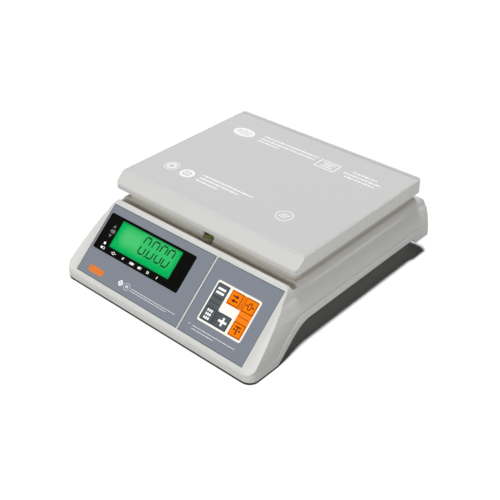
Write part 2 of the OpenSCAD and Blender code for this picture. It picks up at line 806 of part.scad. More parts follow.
module cell_bolt_holes(side, z0, z1, r) {
    for (x = bolt_xs) translate([side * x, pan_cy, z0]) cylinder(h = z1 - z0, r = r);
}

module load_cell() {
    color(steel) difference() {
        translate([-cell_l / 2, pan_cy - cell_w / 2, cell_low]) cube([cell_l, cell_w, cell_h]);
        for (s = [-1, 1]) translate([s * 12, pan_cy + cell_w, cell_low + cell_h / 2])
            rotate([90, 0, 0]) cylinder(h = 2 * cell_w, r = cell_hole_r);
        translate([-12, pan_cy - cell_w, cell_low + cell_h / 2 - 2]) cube([24, 2 * cell_w, 4]);
        cell_bolt_holes(1, cell_low - 1, cell_low + bolt_bite + 1, bolt_r + running_gap);
        cell_bolt_holes(-1, cell_top - bolt_bite - 1, cell_top + 1, bolt_r + running_gap);
    }
}

module cell_spacer_lower() {
    color(steel) difference() {
        translate([cell_l / 2 - spacer_l, pan_cy - cell_w / 2, frame_top]) cube([spacer_l, cell_w, spacer_low_t]);
        cell_bolt_holes(1, frame_top - 1, cell_low + 1, bolt_r + 0.3);
    }
}

module cell_spacer_upper() {
    color(steel) difference() {
        translate([-cell_l / 2, pan_cy - cell_w / 2, cell_top]) cube([spacer_l, cell_w, spacer_high_t]);
        cell_bolt_holes(-1, cell_top - 1, spider_low + 1, bolt_r + 0.3);
    }
}

module socket_head(up) {
    difference() {
        cylinder(h = bolt_head_t, r = bolt_head_r);
        translate([0, 0, up ? bolt_head_t - 2 : -1]) cylinder(h = 3, r = bolt_r * 0.9, $fn = 6);
    }
}

module cell_bolts_lower() {
    color(dark) for (x = bolt_xs) translate([x, pan_cy, 0]) {
        translate([0, 0, frame_low - bolt_head_t]) socket_head(false);
        translate([0, 0, frame_low - eps]) cylinder(h = cell_low + bolt_bite - frame_low, r = bolt_r);
    }
}

module cell_bolts_upper() {
    color(dark) for (x = bolt_xs) translate([-x, pan_cy, 0]) {
        translate([0, 0, spider_top]) socket_head(true);
        translate([0, 0, cell_top - bolt_bite]) cylinder(h = spider_top - cell_top + bolt_bite + eps, r = bolt_r);
    }
}

// Pressed steel plate that carries the fixed end of the load cell.
module base_frame() {
    color(steel) difference() {
        translate([0, pan_cy, frame_low]) rounded_plate(frame_w, frame_d, 8, frame_t);
        for (x = [-1, 1]) translate([x * 40, pan_cy + 38, frame_low - 1]) rounded_plate(50, 22, 6, frame_t + 2);
        for (x = [-1, 1]) translate([x * 40, pan_cy - 38, frame_low - 1]) rounded_plate(50, 22, 6, frame_t + 2);
        cell_bolt_holes(1, frame_low - 1, frame_top + 1, bolt_r + 0.3);
        frame_corners() translate([0, 0, frame_low - 1]) cylinder(h = frame_t + 2, r = screw_r + 0.4);
    }
}

module pan_screw(z) {
    translate([0, 0, z]) difference() {
        cylinder(h = screw_head_t, r = screw_head_r);
        translate([-0.5, -2.4, screw_head_t - 0.9]) cube([1, 4.8, 2]);
        translate([-2.4, -0.5, screw_head_t - 0.9]) cube([4.8, 1, 2]);
    }
    translate([0, 0, z - 5]) cylinder(h = 5 + eps, r = screw_r - 0.05);
}

// Screws of the base frame and of the two boards on the case floor.
module floor_screws() {
    color(steel) {
        frame_corners() pan_screw(frame_top);
        board_corners(main_x, main_y, main_w, main_d) pan_screw(pcb_z + board_t);
        board_corners(rear_board_x, rear_board_y, rear_board_w, rear_board_d) pan_screw(pcb_z + board_t);
    }
}

module at_posts() {
    for (x = [-1, 1], y = [-1, 1]) translate([x * post_x, pan_cy + y * post_y, 0]) children();
}

// Cast cross that spreads the pan's load to the load cell.
module spider() {
    arm = norm([post_x, post_y]);
    turn = atan2(post_y, post_x);
    color([0.66, 0.67, 0.69]) difference() {
        union() {
            translate([0, pan_cy, spider_low]) rounded_plate(cell_l + 4, cell_w + 8, 5, spider_t);
            for (s = [-1, 1], t = [0, 180]) translate([0, pan_cy, spider_low]) rotate([0, 0, s * turn + t]) {
                translate([0, -arm_w / 2, 0]) cube([arm, arm_w, arm_t]);
                translate([arm_w, -arm_rib_w / 2, arm_t - eps]) cube([arm - arm_w, arm_rib_w, arm_rib_h]);
            }
            at_posts() translate([0, 0, spider_low]) cylinder(h = 8, r = post_r + 3);
            at_posts() translate([0, 0, spider_low]) cylinder(h = post_top - spider_low, r = post_r);
        }
        cell_bolt_holes(-1, spider_low - 1, spider_top + 1, bolt_r + 0.3);
        for (x = bolt_xs) translate([-x, pan_cy, spider_top]) cylinder(h = 20, r = bolt_head_r + 0.4);
        at_posts() translate([0, 0, post_top - 14]) cylinder(h = 20, r = screw_r);
    }
}

// Posts on the base frame that stop the arms when the scale is overloaded.
module overload_stops() {
    color(steel) for (x = [-1, 1], y = [-1, 1])
        translate([x * stop_x, pan_cy + y * stop_y, frame_top]) {
            cylinder(h = spider_low - stop_gap - frame_top - 6, r = stop_r, $fn = 6);
            cylinder(h = spider_low - stop_gap - frame_top, r = 3);
        }
}

// The tray's outline from the side, g inside its skin.
module tray_side(g) {
    rise = (bevel_h) / bevel_l;
    f = tray_front + g;
    bend = tray_front + bevel_l - 3 + g * 0.4;
    polygon([[f, -5], [f, tray_top - g - (bend - f) * rise], [bend, tray_top - g],
             [tray_back - g, tray_top - g], [tray_back - g, -5]]);
}

module tray_solid(g, z0) {
    intersection() {
        translate([tray_cx, tray_cy, z0])
            rounded_plate(tray_w - 2 * g, tray_back - tray_front - 2 * g, tray_r - g, far);
        along_x(-half_w, half_w) tray_side(g);
    }
}

// Moulded tray that is screwed to the spider and carries the pan.
module pan_tray() {
    color(shell_grey) difference() {
        union() {
            difference() {
                tray_solid(0, tray_low);
                tray_solid(tray_t, 0);
            }
            intersection() {
                tray_solid(0, tray_low);
                union() {
                    at_posts() translate([0, 0, post_top]) cylinder(h = far, r = post_r + 2);
                    for (s = [-1, 1]) translate([s * post_x - 1, tray_front, post_top + 4])
                        cube([2, tray_back - tray_front, far]);
                    for (s = [-1, 1]) translate([tray_cx - tray_w / 2, pan_cy + s * post_y - 1, post_top + 4])
                        cube([tray_w, 2, far]);
                }
            }
        }
        at_posts() translate([0, 0, post_top - 1]) cylinder(h = far, r = screw_r + 0.3);
        at_posts() translate([0, 0, tray_top - 3]) cylinder(h = 20, r = screw_head_r + 0.5);
        at_cushions() translate([0, 0, tray_top - 0.5]) cylinder(h = 5, r = cushion_r + fit_gap);
        translate([notch_x, tray_front - 5, tray_low - 1]) cube([notch_w, 5 + tray_t + 1, 9]);
    }
}

module tray_screws() {
    color(steel) at_posts() {
        translate([0, 0, tray_top - 3]) difference() {
            cylinder(h = screw_head_t, r = screw_head_r);
            translate([-0.5, -2.4, screw_head_t - 0.9]) cube([1, 4.8, 2]);
            translate([-2.4, -0.5, screw_head_t - 0.9]) cube([4.8, 1, 2]);
        }
        translate([0, 0, post_top - 10]) cylinder(h = tray_top - 3 - post_top + 10 + eps, r = screw_r - 0.05);
    }
}

module at_cushions() {
    for (x = [-1, 1], y = [-1, 1])
        translate([x * (post_x + cushion_out), pan_cy + y * (post_y + cushion_out - 2) + 4, 0]) children();
}

module pan_cushions() {
    color(dark) at_cushions() translate([0, 0, tray_top - 0.5]) cylinder(h = cushion_t + 0.5, r = cushion_r);
}

// The pan's outline from the side, g inside its skin.
module pan_side(g) {
    nose = pan_front + g;
    low = pan_z - bevel_h - g;
    polygon([[nose, -5], [nose, low - 2.6], [nose + 0.3, low - 1.2], [nose + 1.2, low],
             [nose + 2.6, low + 1.1], [pan_front + bevel_l + g * 0.3, pan_z - g],
             [pan_back - g - 1, pan_z - g], [pan_back - g - 0.3, pan_z - g - 0.3],
             [pan_back - g, pan_z - g - 1], [pan_back - g, -5]]);
}

module pan_solid(g, z0) {
    intersection() {
        translate([0, pan_cy, z0]) rounded_plate(pan_w - 2 * g, pan_d - 2 * g, pan_r - g, far);
        along_x(-half_w, half_w) pan_side(g);
    }
}

// Ribs inside the pan's left skirt that fill the wider gap to the tray there.
module pan_stops() {
    for (y = [-1, 1]) translate([-pan_w / 2 + pan_t - eps, pan_cy + y * post_y - pan_rib_t / 2, skirt_z + 2])
        cube([tray_shy + eps, pan_rib_t, pan_z - pan_t - skirt_z - 2 + eps]);
}

module pan() {
    color([0.86, 0.86, 0.85]) {
        difference() {
            pan_solid(0, skirt_z);
            pan_solid(pan_t, 0);
        }
        pan_stops();
    }
}

module pan_film() {
    color([0.80, 0.80, 0.80]) translate([-pan_w / 2 + film_in, film_front, pan_z])
        cube([pan_w - 2 * film_in, film_back - film_front, film_t]);
}

module battery() {
    color([0.15, 0.16, 0.18]) {
        difference() {
            translate([battery_x - battery_l / 2, battery_y - battery_s / 2, battery_low]) cube([battery_l, battery_s, battery_s]);
            translate([battery_x - battery_l / 2 + 8, battery_y - battery_s / 2 + 4, battery_low + battery_s - 0.6])
                cube([battery_l - 16, battery_s - 8, 2]);
        }
    }
    color(steel) for (y = [-1, 1])
        translate([battery_x + battery_l / 2 - 14, battery_y + y * 15 - 2.4, battery_low + battery_s - 0.6 - eps])
            cube([0.8, 4.8, 6.2]);
}

module battery_pads() {
    color(dark) for (s = [-1, 1])
        translate([battery_x + (s > 0 ? battery_l / 2 : -battery_l / 2 - pad_t), battery_y - battery_s / 2 + 4, battery_low + 2])
            cube([pad_t, battery_s - 8, 30]);
}

// Door under the battery, which slides forward out of its rails.
module battery_door() {
    z0 = floor_low - slide_gap - door_t;
    color(shell_grey) {
        difference() {
            translate([battery_x - door_x, battery_y - door_y, z0]) cube([2 * door_x, 2 * door_y, door_t]);
            for (i = [0:4]) translate([battery_x - 15, battery_y - door_y + 5 + i * 3, z0 - 1]) cube([30, 1.2, 1.6]);
        }
        translate([battery_x - box_x + slide_gap + 2, battery_y - box_y + slide_gap, z0 + door_t - eps])
            cube([2 * (box_x - slide_gap - 2), 2, 0.25]);
    }
}

module main_board() {
    color(pcb_green) difference() {
        translate([main_x - main_w / 2, main_y - main_d / 2, pcb_z]) cube([main_w, main_d, board_t]);
        board_corners(main_x, main_y, main_w, main_d)
            translate([0, 0, pcb_z - 1]) cylinder(h = board_t + 2, r = screw_r + 0.2);
    }
}

module board_chips() {
    z = pcb_z + board_t;
    color(dark) {
        translate([main_x - 10, main_y - 8, z]) cube([14, 14, 1.6]);
        translate([main_x + 8, main_y - 6, z]) cube([6, 10, 1.5]);
        translate([main_x - 12, main_y + 14, z]) cube([8, 5, 1.5]);
        translate([main_x - 2, main_y + 12, z]) cube([5, 8, 1.5]);
        for (y = [-21, -13]) translate([main_x - 18, main_y + y, z]) cylinder(h = 9, r = 3.2);
        translate([rear_board_x + 34, rear_board_y - 6, z]) cube([10, 6, 1.5]);
        translate([rear_board_x + 26, rear_board_y + 6, z]) cylinder(h = 10, r = 4);
    }
}

module header(x, y, w) {
    z = pcb_z + board_t;
    translate([x - w / 2, y - 3, z]) difference() {
        cube([w, 6, 6]);
        translate([1, 1, 1]) cube([w - 2, 4, 6]);
    }
}

module board_sockets() {
    color([0.92, 0.91, 0.86]) {
        header(main_x + 4, main_y + main_d / 2 - 7, 14);
        header(main_x - 11.5, main_y + main_d / 2 - 7, 8);
        header(main_x + 5, main_y - main_d / 2 + 8, 14);
        header(main_x - 11, main_y - main_d / 2 + 8, 12);
        header(main_x - 18, main_y + 2, 8);
        header(rear_board_x + 46, rear_board_y - rear_board_d / 2 + 5, 10);
    }
}

module buzzer() {
    color(dark) translate([main_x + 16, main_y + 18, pcb_z + board_t]) difference() {
        cylinder(h = 8, r = 6);
        translate([0, 0, 6]) cylinder(h = 5, r = 1);
    }
}

module interface_board() {
    color(pcb_green) difference() {
        translate([rear_board_x - rear_board_w / 2, rear_board_y - rear_board_d / 2, pcb_z])
            cube([rear_board_w, rear_board_d, board_t]);
        board_corners(rear_board_x, rear_board_y, rear_board_w, rear_board_d)
            translate([0, 0, pcb_z - 1]) cylinder(h = board_t + 2, r = screw_r + 0.2);
    }
}

// Round low voltage socket with its centre pin.
module power_jack() {
    z = pcb_z + board_t;
    body_y = port_face - wall - 13;
    color(dark) difference() {
        union() {
            translate([jack_x - 5, body_y, z]) cube([10, 13 - fit_gap, port_z + 5.2 - z]);
            translate([jack_x, body_y + 12, port_z]) rotate([-90, 0, 0]) cylinder(h = wall + 2, r = 4.5);
        }
        translate([jack_x, body_y + 4, port_z]) rotate([-90, 0, 0]) cylinder(h = 30, r = 3.1);
    }
    color(steel) translate([jack_x, body_y + 3.9, port_z]) rotate([-90, 0, 0]) cylinder(h = wall + 9, r = 1);
}

// Nine-way serial socket: metal plate, shell, two screw posts and insulator.
module serial_port() {
    z = pcb_z + board_t;
    color(steel) {
        difference() {
            translate([serial_x - 15.4, port_face, port_z - 6.3]) cube([30.8, 0.8, 12.6]);
            for (s = [-1, 1]) translate([serial_x + s * 12.5, port_face - 1, port_z])
                rotate([-90, 0, 0]) cylinder(h = 5, r = 1.5);
        }
        difference() {
            translate([serial_x - 8.6, port_face + 0.8 - eps, port_z - 4.2]) cube([17.2, 1.4, 8.4]);
            translate([serial_x - 8, port_face + 0.7, port_z - 3.6]) cube([16, 5, 7.2]);
        }
    }
    color(dark) difference() {
        union() {
            translate([serial_x - 9.6, port_face - wall - 11, z]) cube([19.2, 11 - fit_gap, port_z + 5 - z]);
            translate([serial_x - 9.6, port_face - wall - 1, port_z - 5]) cube([19.2, wall + 1 + eps, 10]);
        }
        for (i = [-2:2]) translate([serial_x + i * 2.8, port_face - 5, port_z + 1.4])
            rotate([-90, 0, 0]) cylinder(h = 10, r = 0.6);
    }
}

module usb_port() {
    z = pcb_z + board_t;
    color(steel) difference() {
        union() {
            translate([usb_x - 6.1, port_face - wall - 13, z]) cube([12.2, 13 - fit_gap, port_z + 5.4 - z]);
            translate([usb_x - 6.1, port_face - wall - 1, port_z - 5.4]) cube([12.2, wall + 1.8, 10.8]);
        }
        translate([usb_x - 4.3, port_face - wall - 9, port_z - 4]) cube([8.6, 30, 8.2]);
    }
    color(dark) translate([usb_x - 2.9, port_face - wall - 9.1, port_z - 1.5]) cube([5.8, 9, 3]);
}

// Snap-in switch body with its flange on the back wall.
module power_switch_housing() {
    color(dark) difference() {
        union() {
            translate([switch_x - 9.5, port_face - 14, port_z - 6.7]) cube([19, 14, 13.4]);
            translate([switch_x, port_face, port_z]) rotate([-90, 0, 0])
                rounded_plate(21.6, 15.8, 1.2, 1.5);
        }
        translate([switch_x - 8.9, port_face - 8, port_z - 5.6]) cube([17.8, 30, 11.2]);
        translate([switch_x, rocker_y, port_z - 6.4]) cylinder(h = 12.8, r = 1.2 + running_gap);
    }
}

module power_rocker() {
    color([0.75, 0.08, 0.06]) translate([switch_x, rocker_y, port_z]) rotate([0, 0, rocker_tilt]) {
        translate([0, 0, -5.2]) linear_extrude(10.4)
            polygon([[-8, -2], [-8, 4.6], [-7, 5], [0, 3.6], [7, 5], [8, 4.6], [8, -2]]);
        translate([0, 0, -6.2]) cylinder(h = 12.4, r = 1.2);
    }
}

module level_cup() {
    color([0.85, 0.85, 0.83]) translate([level_x, level_y, groove_z]) difference() {
        cylinder(h = level_top - groove_z - 0.2, r = level_r);
        translate([0, 0, 1.2]) cylinder(h = 20, r = level_r - 1.3);
    }
}

module level_vial() {
    color([0.55, 0.62, 0.25, 0.7]) translate([level_x, level_y, groove_z + 1.2])
        cylinder(h = level_top - groove_z - 1.2, r = level_r - 1.3);
}

// Threaded stud of one levelling foot.
module foot_stud(k) {
    color(steel) translate([feet[k][0] * foot_x, feet[k][1], stud_low])
        cylinder(h = stud_top - stud_low, r = stud_r);
}

// Finger-turned pad of one levelling foot, with its grip notches.
module foot_pad(k) {
    color(dark) translate([feet[k][0] * foot_x, feet[k][1], 0]) difference() {
        union() {
            cylinder(h = foot_t - 1.8, r = foot_r);
            cylinder(h = foot_t, r = foot_r - 1.5);
        }
        translate([0, 0, stud_low - 0.1]) cylinder(h = foot_t, r = stud_r + running_gap);
        for (i = [0:11]) rotate([0, 0, i * 30]) translate([foot_r + 0.4, 0, 1.2]) cylinder(h = foot_t, r = 1.2);
    }
}

module foot_stud_1() { foot_stud(0); }
module foot_stud_2() { foot_stud(1); }
module foot_stud_3() { foot_stud(2); }
module foot_stud_4() { foot_stud(3); }
module foot_pad_1() { foot_pad(0); }
module foot_pad_2() { foot_pad(1); }
module foot_pad_3() { foot_pad(2); }
module foot_pad_4() { foot_pad(3); }

module foot_inserts() {
    color([0.80, 0.65, 0.30]) at_feet() boss(insert_r - eps, stud_r + running_gap, floor_low + 0.5, floor_z + insert_h);
}

module casing_screws() {
    color(steel) for (s = [-1, 1], y = casing_ys) translate([s * casing_x, y, 0]) {
        translate([0, 0, casing_seat - screw_head_t]) cylinder(h = screw_head_t, r = screw_head_r);
        translate([0, 0, casing_seat - eps])
            cylinder(h = boss_split(y) + (y < arch_y ? 3.5 : 12) - casing_seat, r = screw_r - 0.05);
    }
}

// Smooth run through hand-set points, n steps between each two.
function mix4(a, b, c, d, t) = 0.5 * (2 * b + (c - a) * t + (2 * a - 5 * b + 4 * c - d) * t * t
    + (3 * b - a - 3 * c + d) * t * t * t);
function run(p, n = 5) = concat([for (i = [0:len(p) - 2], j = [0:n - 1])
    mix4(p[max(i - 1, 0)], p[i], p[i + 1], p[min(i + 2, len(p) - 1)], j / n)], [p[len(p) - 1]]);

// Round cable along a run of points.
module cable(points, r, sides = 8) {
    p = run(points);
    last = len(p) - 1;
    rings = [for (i = [0:last])
        let (d = p[min(i + 1, last)] - p[max(i - 1, 0)], t = d / norm(d),
             a = cross(t, abs(t[2]) > 0.8 ? [1, 0, 0] : [0, 0, 1]), u = a / norm(a), v = cross(t, u))
        [for (k = [0:sides - 1]) p[i] + r * (cos(360 * k / sides) * u + sin(360 * k / sides) * v)]];
    verts = [for (ring = rings) for (q = ring) q];
    side_faces = [for (i = [0:last - 1], k = [0:sides - 1], h = [0, 1])
        let (a = i * sides + k, b = i * sides + (k + 1) % sides)
        h == 0 ? [a, b + sides, b] : [a, a + sides, b + sides]];
    low_cap = [for (k = [1:sides - 2]) [0, k, k + 1]];
    high_cap = [for (k = [1:sides - 2]) [last * sides, last * sides + k + 1, last * sides + k]];
    polyhedron(points = verts, faces = concat(side_faces, low_cap, high_cap));
}

// A point given on the front panel: across it, down its slope and above it.
function panel_point(x, s, z) = [x, panel_y - s * cos(panel_angle) - z * sin(panel_angle),
    panel_z - s * sin(panel_angle) + z * cos(panel_angle)];

// Last stretch of a lead, from above into a header at x and y.
function plug_in(x, y) = [[x, y, pcb_z + 17], [x, y, pcb_z + 11], [x, y, pcb_z + board_t + 1.1]];

module cell_cable() { color([0.3, 0.3, 0.32]) cable(cell_cable_points, 1.8); }

module panel_ribbons() {
    color([0.75, 0.75, 0.78]) {
        cable(display_ribbon_points, 1.8);
        cable(keypad_ribbon_points, 1.8);
    }
}

module power_leads() {
    color([0.7, 0.1, 0.1]) {
        cable(power_lead_points, 1.5);
        cable(battery_lead_a, 1.1);
        cable(battery_lead_b, 1.1);
    }
}

base_shell();
top_shell();
display_overlay();
keypad_overlay();
window_bezel();
window_lens();
lcd_glass();
lcd_backlight();
lcd_frame();
display_board();
key_board();
key_switches();
key_total();
key_units();
key_zero();
key_sample();
key_sum();
key_tare();
load_cell();
cell_spacer_lower();
cell_spacer_upper();
cell_bolts_lower();
cell_bolts_upper();
base_frame();
floor_screws();
spider();
overload_stops();
pan_tray();
tray_screws();
pan_cushions();
pan();
pan_film();
battery();
battery_pads();
battery_door();
main_board();
board_chips();
board_sockets();
buzzer();
interface_board();
power_jack();
serial_port();
usb_port();
power_switch_housing();
power_rocker();
level_cup();
level_vial();
foot_stud_1();
foot_stud_2();
foot_stud_3();
foot_stud_4();
foot_pad_1();
foot_pad_2();
foot_pad_3();
foot_pad_4();
foot_inserts();
casing_screws();
cell_cable();
panel_ribbons();
power_leads();
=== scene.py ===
import json
import math

import bmesh
import bpy
import numpy as np
from mathutils import Matrix, Vector


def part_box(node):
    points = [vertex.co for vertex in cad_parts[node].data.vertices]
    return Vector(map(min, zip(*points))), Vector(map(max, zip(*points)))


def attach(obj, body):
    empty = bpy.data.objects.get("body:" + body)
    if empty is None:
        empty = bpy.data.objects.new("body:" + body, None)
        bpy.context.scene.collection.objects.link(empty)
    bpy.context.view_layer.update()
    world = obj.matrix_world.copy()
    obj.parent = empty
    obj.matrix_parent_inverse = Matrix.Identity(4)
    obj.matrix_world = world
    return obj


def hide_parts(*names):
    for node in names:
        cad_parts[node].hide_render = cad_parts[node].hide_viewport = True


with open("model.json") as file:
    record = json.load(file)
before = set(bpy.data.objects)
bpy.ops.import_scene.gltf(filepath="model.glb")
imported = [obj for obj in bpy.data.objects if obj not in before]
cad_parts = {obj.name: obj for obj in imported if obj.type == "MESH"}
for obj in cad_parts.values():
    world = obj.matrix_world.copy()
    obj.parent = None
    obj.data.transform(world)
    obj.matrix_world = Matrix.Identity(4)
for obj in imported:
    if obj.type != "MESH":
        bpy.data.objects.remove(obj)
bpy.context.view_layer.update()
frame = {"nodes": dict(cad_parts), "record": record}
cadNodes = frame["nodes"]
print("frame loaded,", len(cadNodes), "nodes")

scene = bpy.context.scene
scene.view_settings.view_transform = "Standard"
mm = 0.001

# azimuth runs from the front towards the right; angles in degrees, place and clip in metres, lens and sensor in mm
cameraSet = {"azimuth": 42.62, "elevation": 34.21, "roll": -0.856, "place": (0.6085, -0.6612, 0.6300), "lens": 64.6,
             "sensor": 36, "clip": (0.05, 20)}


def addCamera(c):
    az, el, roll = (math.radians(c[k]) for k in ("azimuth", "elevation", "roll"))
    back = Vector((math.sin(az) * math.cos(el), -math.cos(az) * math.cos(el), math.sin(el)))
    right = (-back).cross(Vector((0, 0, 1))).normalized()
    up = right.cross(-back)
    turnedRight = right * math.cos(roll) + up * math.sin(roll)
    turnedUp = up * math.cos(roll) - right * math.sin(roll)
    data = bpy.data.cameras.new("camera")
    data.lens, data.sensor_width = c["lens"], c["sensor"]
    data.clip_start, data.clip_end = c["clip"]
    camera = bpy.data.objects.new("camera", data)
    camera.matrix_world = Matrix.Translation(c["place"]) @ Matrix((turnedRight, turnedUp, back)).transposed().to_4x4()
    scene.collection.objects.link(camera)
    scene.camera = camera


addCamera(cameraSet)
print("camera placed")


class NodeSheet:
    # short ways to add, set and join shader nodes
    def __init__(self, tree):
        self.tree = tree

    def add(self, kind, **values):
        node = self.tree.nodes.new(kind)
        for key, value in values.items():
            setattr(node, key, value)
        return node

    def link(self, source, target):
        self.tree.links.new(source, target)

    def feed(self, socket, value):
        if isinstance(value, bpy.types.NodeSocket):
            self.link(value, socket)
        else:
            socket.default_value = value

    def maths(self, operation, a, b=0.0, clamp=False):
        node = self.add("ShaderNodeMath", operation=operation, use_clamp=clamp)
        self.feed(node.inputs[0], a)
        self.feed(node.inputs[1], b)
        return node.outputs[0]

    def blendColor(self, factor, a, b):
        node = self.add("ShaderNodeMix", data_type="RGBA", blend_type="MIX")
        self.feed(node.inputs["Factor"], factor)
        self.feed(node.inputs[6], a)
        self.feed(node.inputs[7], b)
        return node.outputs[2]

    def group(self, tree, **values):
        node = self.add("ShaderNodeGroup", node_tree=tree)
        for key, value in values.items():
            self.feed(node.inputs[key], value)
        return node.outputs


floatKind, colorKind = "NodeSocketFloat", "NodeSocketColor"


def newGroup(name, inputs, outputs):
    tree = bpy.data.node_groups.new(name, "ShaderNodeTree")
    for label, kind, value in inputs:
        tree.interface.new_socket(name=label, in_out="INPUT", socket_type=kind).default_value = value
    for label, kind in outputs:
        tree.interface.new_socket(name=label, in_out="OUTPUT", socket_type=kind)
    sheet = NodeSheet(tree)
    return tree, sheet, sheet.add("NodeGroupInput").outputs, sheet.add("NodeGroupOutput").inputs


def buildGrainGroup():
    # a fine noise and a broad one vary the colour and roughness a little; the fine one is the grain's height
    tree, s, given, out = newGroup(
        "mouldedGrain",
        [("Color", colorKind, (0.8, 0.8, 0.8, 1)), ("GrainSize", floatKind, 0.0004), ("PatchSize", floatKind, 0.05),
         ("ColorChange", floatKind, 0.03), ("Roughness", floatKind, 0.5), ("RoughnessChange", floatKind, 0.08)],
        [("Color", colorKind), ("Roughness", floatKind), ("Height", floatKind)])
    place = s.add("ShaderNodeTexCoord").outputs["Object"]
    fine = s.add("ShaderNodeTexNoise")
    fine.inputs["Detail"].default_value = 3
    broad = s.add("ShaderNodeTexNoise")
    broad.inputs["Detail"].default_value = 4
    for noise, size in ((fine, "GrainSize"), (broad, "PatchSize")):
        s.link(place, noise.inputs["Vector"])
        s.link(s.maths("DIVIDE", 1.0, given[size]), noise.inputs["Scale"])
    change = s.maths("MULTIPLY", s.maths("SUBTRACT", broad.outputs["Fac"], 0.5), given["ColorChange"])
    speck = s.maths("MULTIPLY", s.maths("SUBTRACT", fine.outputs["Fac"], 0.5), given["ColorChange"])
    tint = s.add("ShaderNodeVectorMath", operation="SCALE")
    s.link(given["Color"], tint.inputs[0])
    s.link(s.maths("ADD", s.maths("ADD", change, speck), 1.0), tint.inputs["Scale"])
    s.link(tint.outputs[0], out["Color"])
    rough = s.maths("MULTIPLY", s.maths("SUBTRACT", broad.outputs["Fac"], 0.5), given["RoughnessChange"])
    s.link(s.maths("ADD", given["Roughness"], rough, clamp=True), out["Roughness"])
    s.link(fine.outputs["Fac"], out["Height"])
    return tree


# the sloping panel: where its overlays' upper edge lies in millimetres, and its slope
panelSet = {"y": -91.93, "z": 73.832, "slope": math.radians(41.1)}
slopeCos, slopeSin = math.cos(panelSet["slope"]), math.sin(panelSet["slope"])


def buildPanelGroup():
    # millimetres across the panel and down its slope from the overlays' upper edge
    tree, s, given, out = newGroup("panelPlace", [], [("Across", floatKind), ("Down", floatKind)])
    parts = s.add("ShaderNodeSeparateXYZ")
    s.link(s.add("ShaderNodeTexCoord").outputs["Object"], parts.inputs[0])
    s.link(s.maths("DIVIDE", parts.outputs[0], mm), out["Across"])
    forward = s.maths("MULTIPLY", s.maths("SUBTRACT", panelSet["y"] * mm, parts.outputs[1]), slopeCos / mm)
    fall = s.maths("MULTIPLY", s.maths("SUBTRACT", panelSet["z"] * mm, parts.outputs[2]), slopeSin / mm)
    s.link(s.maths("ADD", forward, fall), out["Down"])
    return tree


def buildPatchGroup():
    # mask of a rounded rectangle: how far a point is outside the rectangle shrunk by its corner radius,
    # less that radius, faded over the blur; all in millimetres
    labels = ("Across", "Down", "MiddleAcross", "MiddleDown", "HalfWidth", "HalfHeight", "Corner", "Blur")
    tree, s, given, out = newGroup("roundedPatch", [(label, floatKind, 0.1) for label in labels],
                                   [("Mask", floatKind)])

    def beyond(place, middle, half):
        off = s.maths("ABSOLUTE", s.maths("SUBTRACT", given[place], given[middle]))
        return s.maths("MAXIMUM", s.maths("SUBTRACT", off, s.maths("SUBTRACT", given[half], given["Corner"])), 0.0)

    a, b = beyond("Across", "MiddleAcross", "HalfWidth"), beyond("Down", "MiddleDown", "HalfHeight")
    far = s.maths("SQRT", s.maths("ADD", s.maths("MULTIPLY", a, a), s.maths("MULTIPLY", b, b)))
    edge = s.maths("DIVIDE", s.maths("SUBTRACT", far, given["Corner"]), given["Blur"])
    s.link(s.maths("SUBTRACT", 0.5, edge, clamp=True), out["Mask"])
    return tree


grainGroup, panelGroup, patchGroup = buildGrainGroup(), buildPanelGroup(), buildPatchGroup()


def linear(hexColor):
    # colour written as rrggbb, turned into linear values
    parts = [int(hexColor[i:i + 2], 16) / 255 for i in (0, 2, 4)]
    return tuple(p / 12.92 if p <= 0.04045 else ((p + 0.055) / 1.055) ** 2.4 for p in parts)


def paintPatches(s, color, place, patches):
    # paints rounded rectangles one after another: (left, right, top, bottom, corner, blur, colour);
    # a colour that starts with ! goes outside the rectangle
    for left, right, top, bottom, corner, blur, paint in patches:
        mask = s.group(patchGroup, Across=place[0], Down=place[1], MiddleAcross=(left + right) / 2,
                       MiddleDown=(top + bottom) / 2, HalfWidth=(right - left) / 2, HalfHeight=(bottom - top) / 2,
                       Corner=corner, Blur=blur)["Mask"]
        if paint.startswith("!"):
            mask = s.maths("SUBTRACT", 1.0, mask)
        color = s.blendColor(mask, color, (*linear(paint.lstrip("!")), 1))
    return color


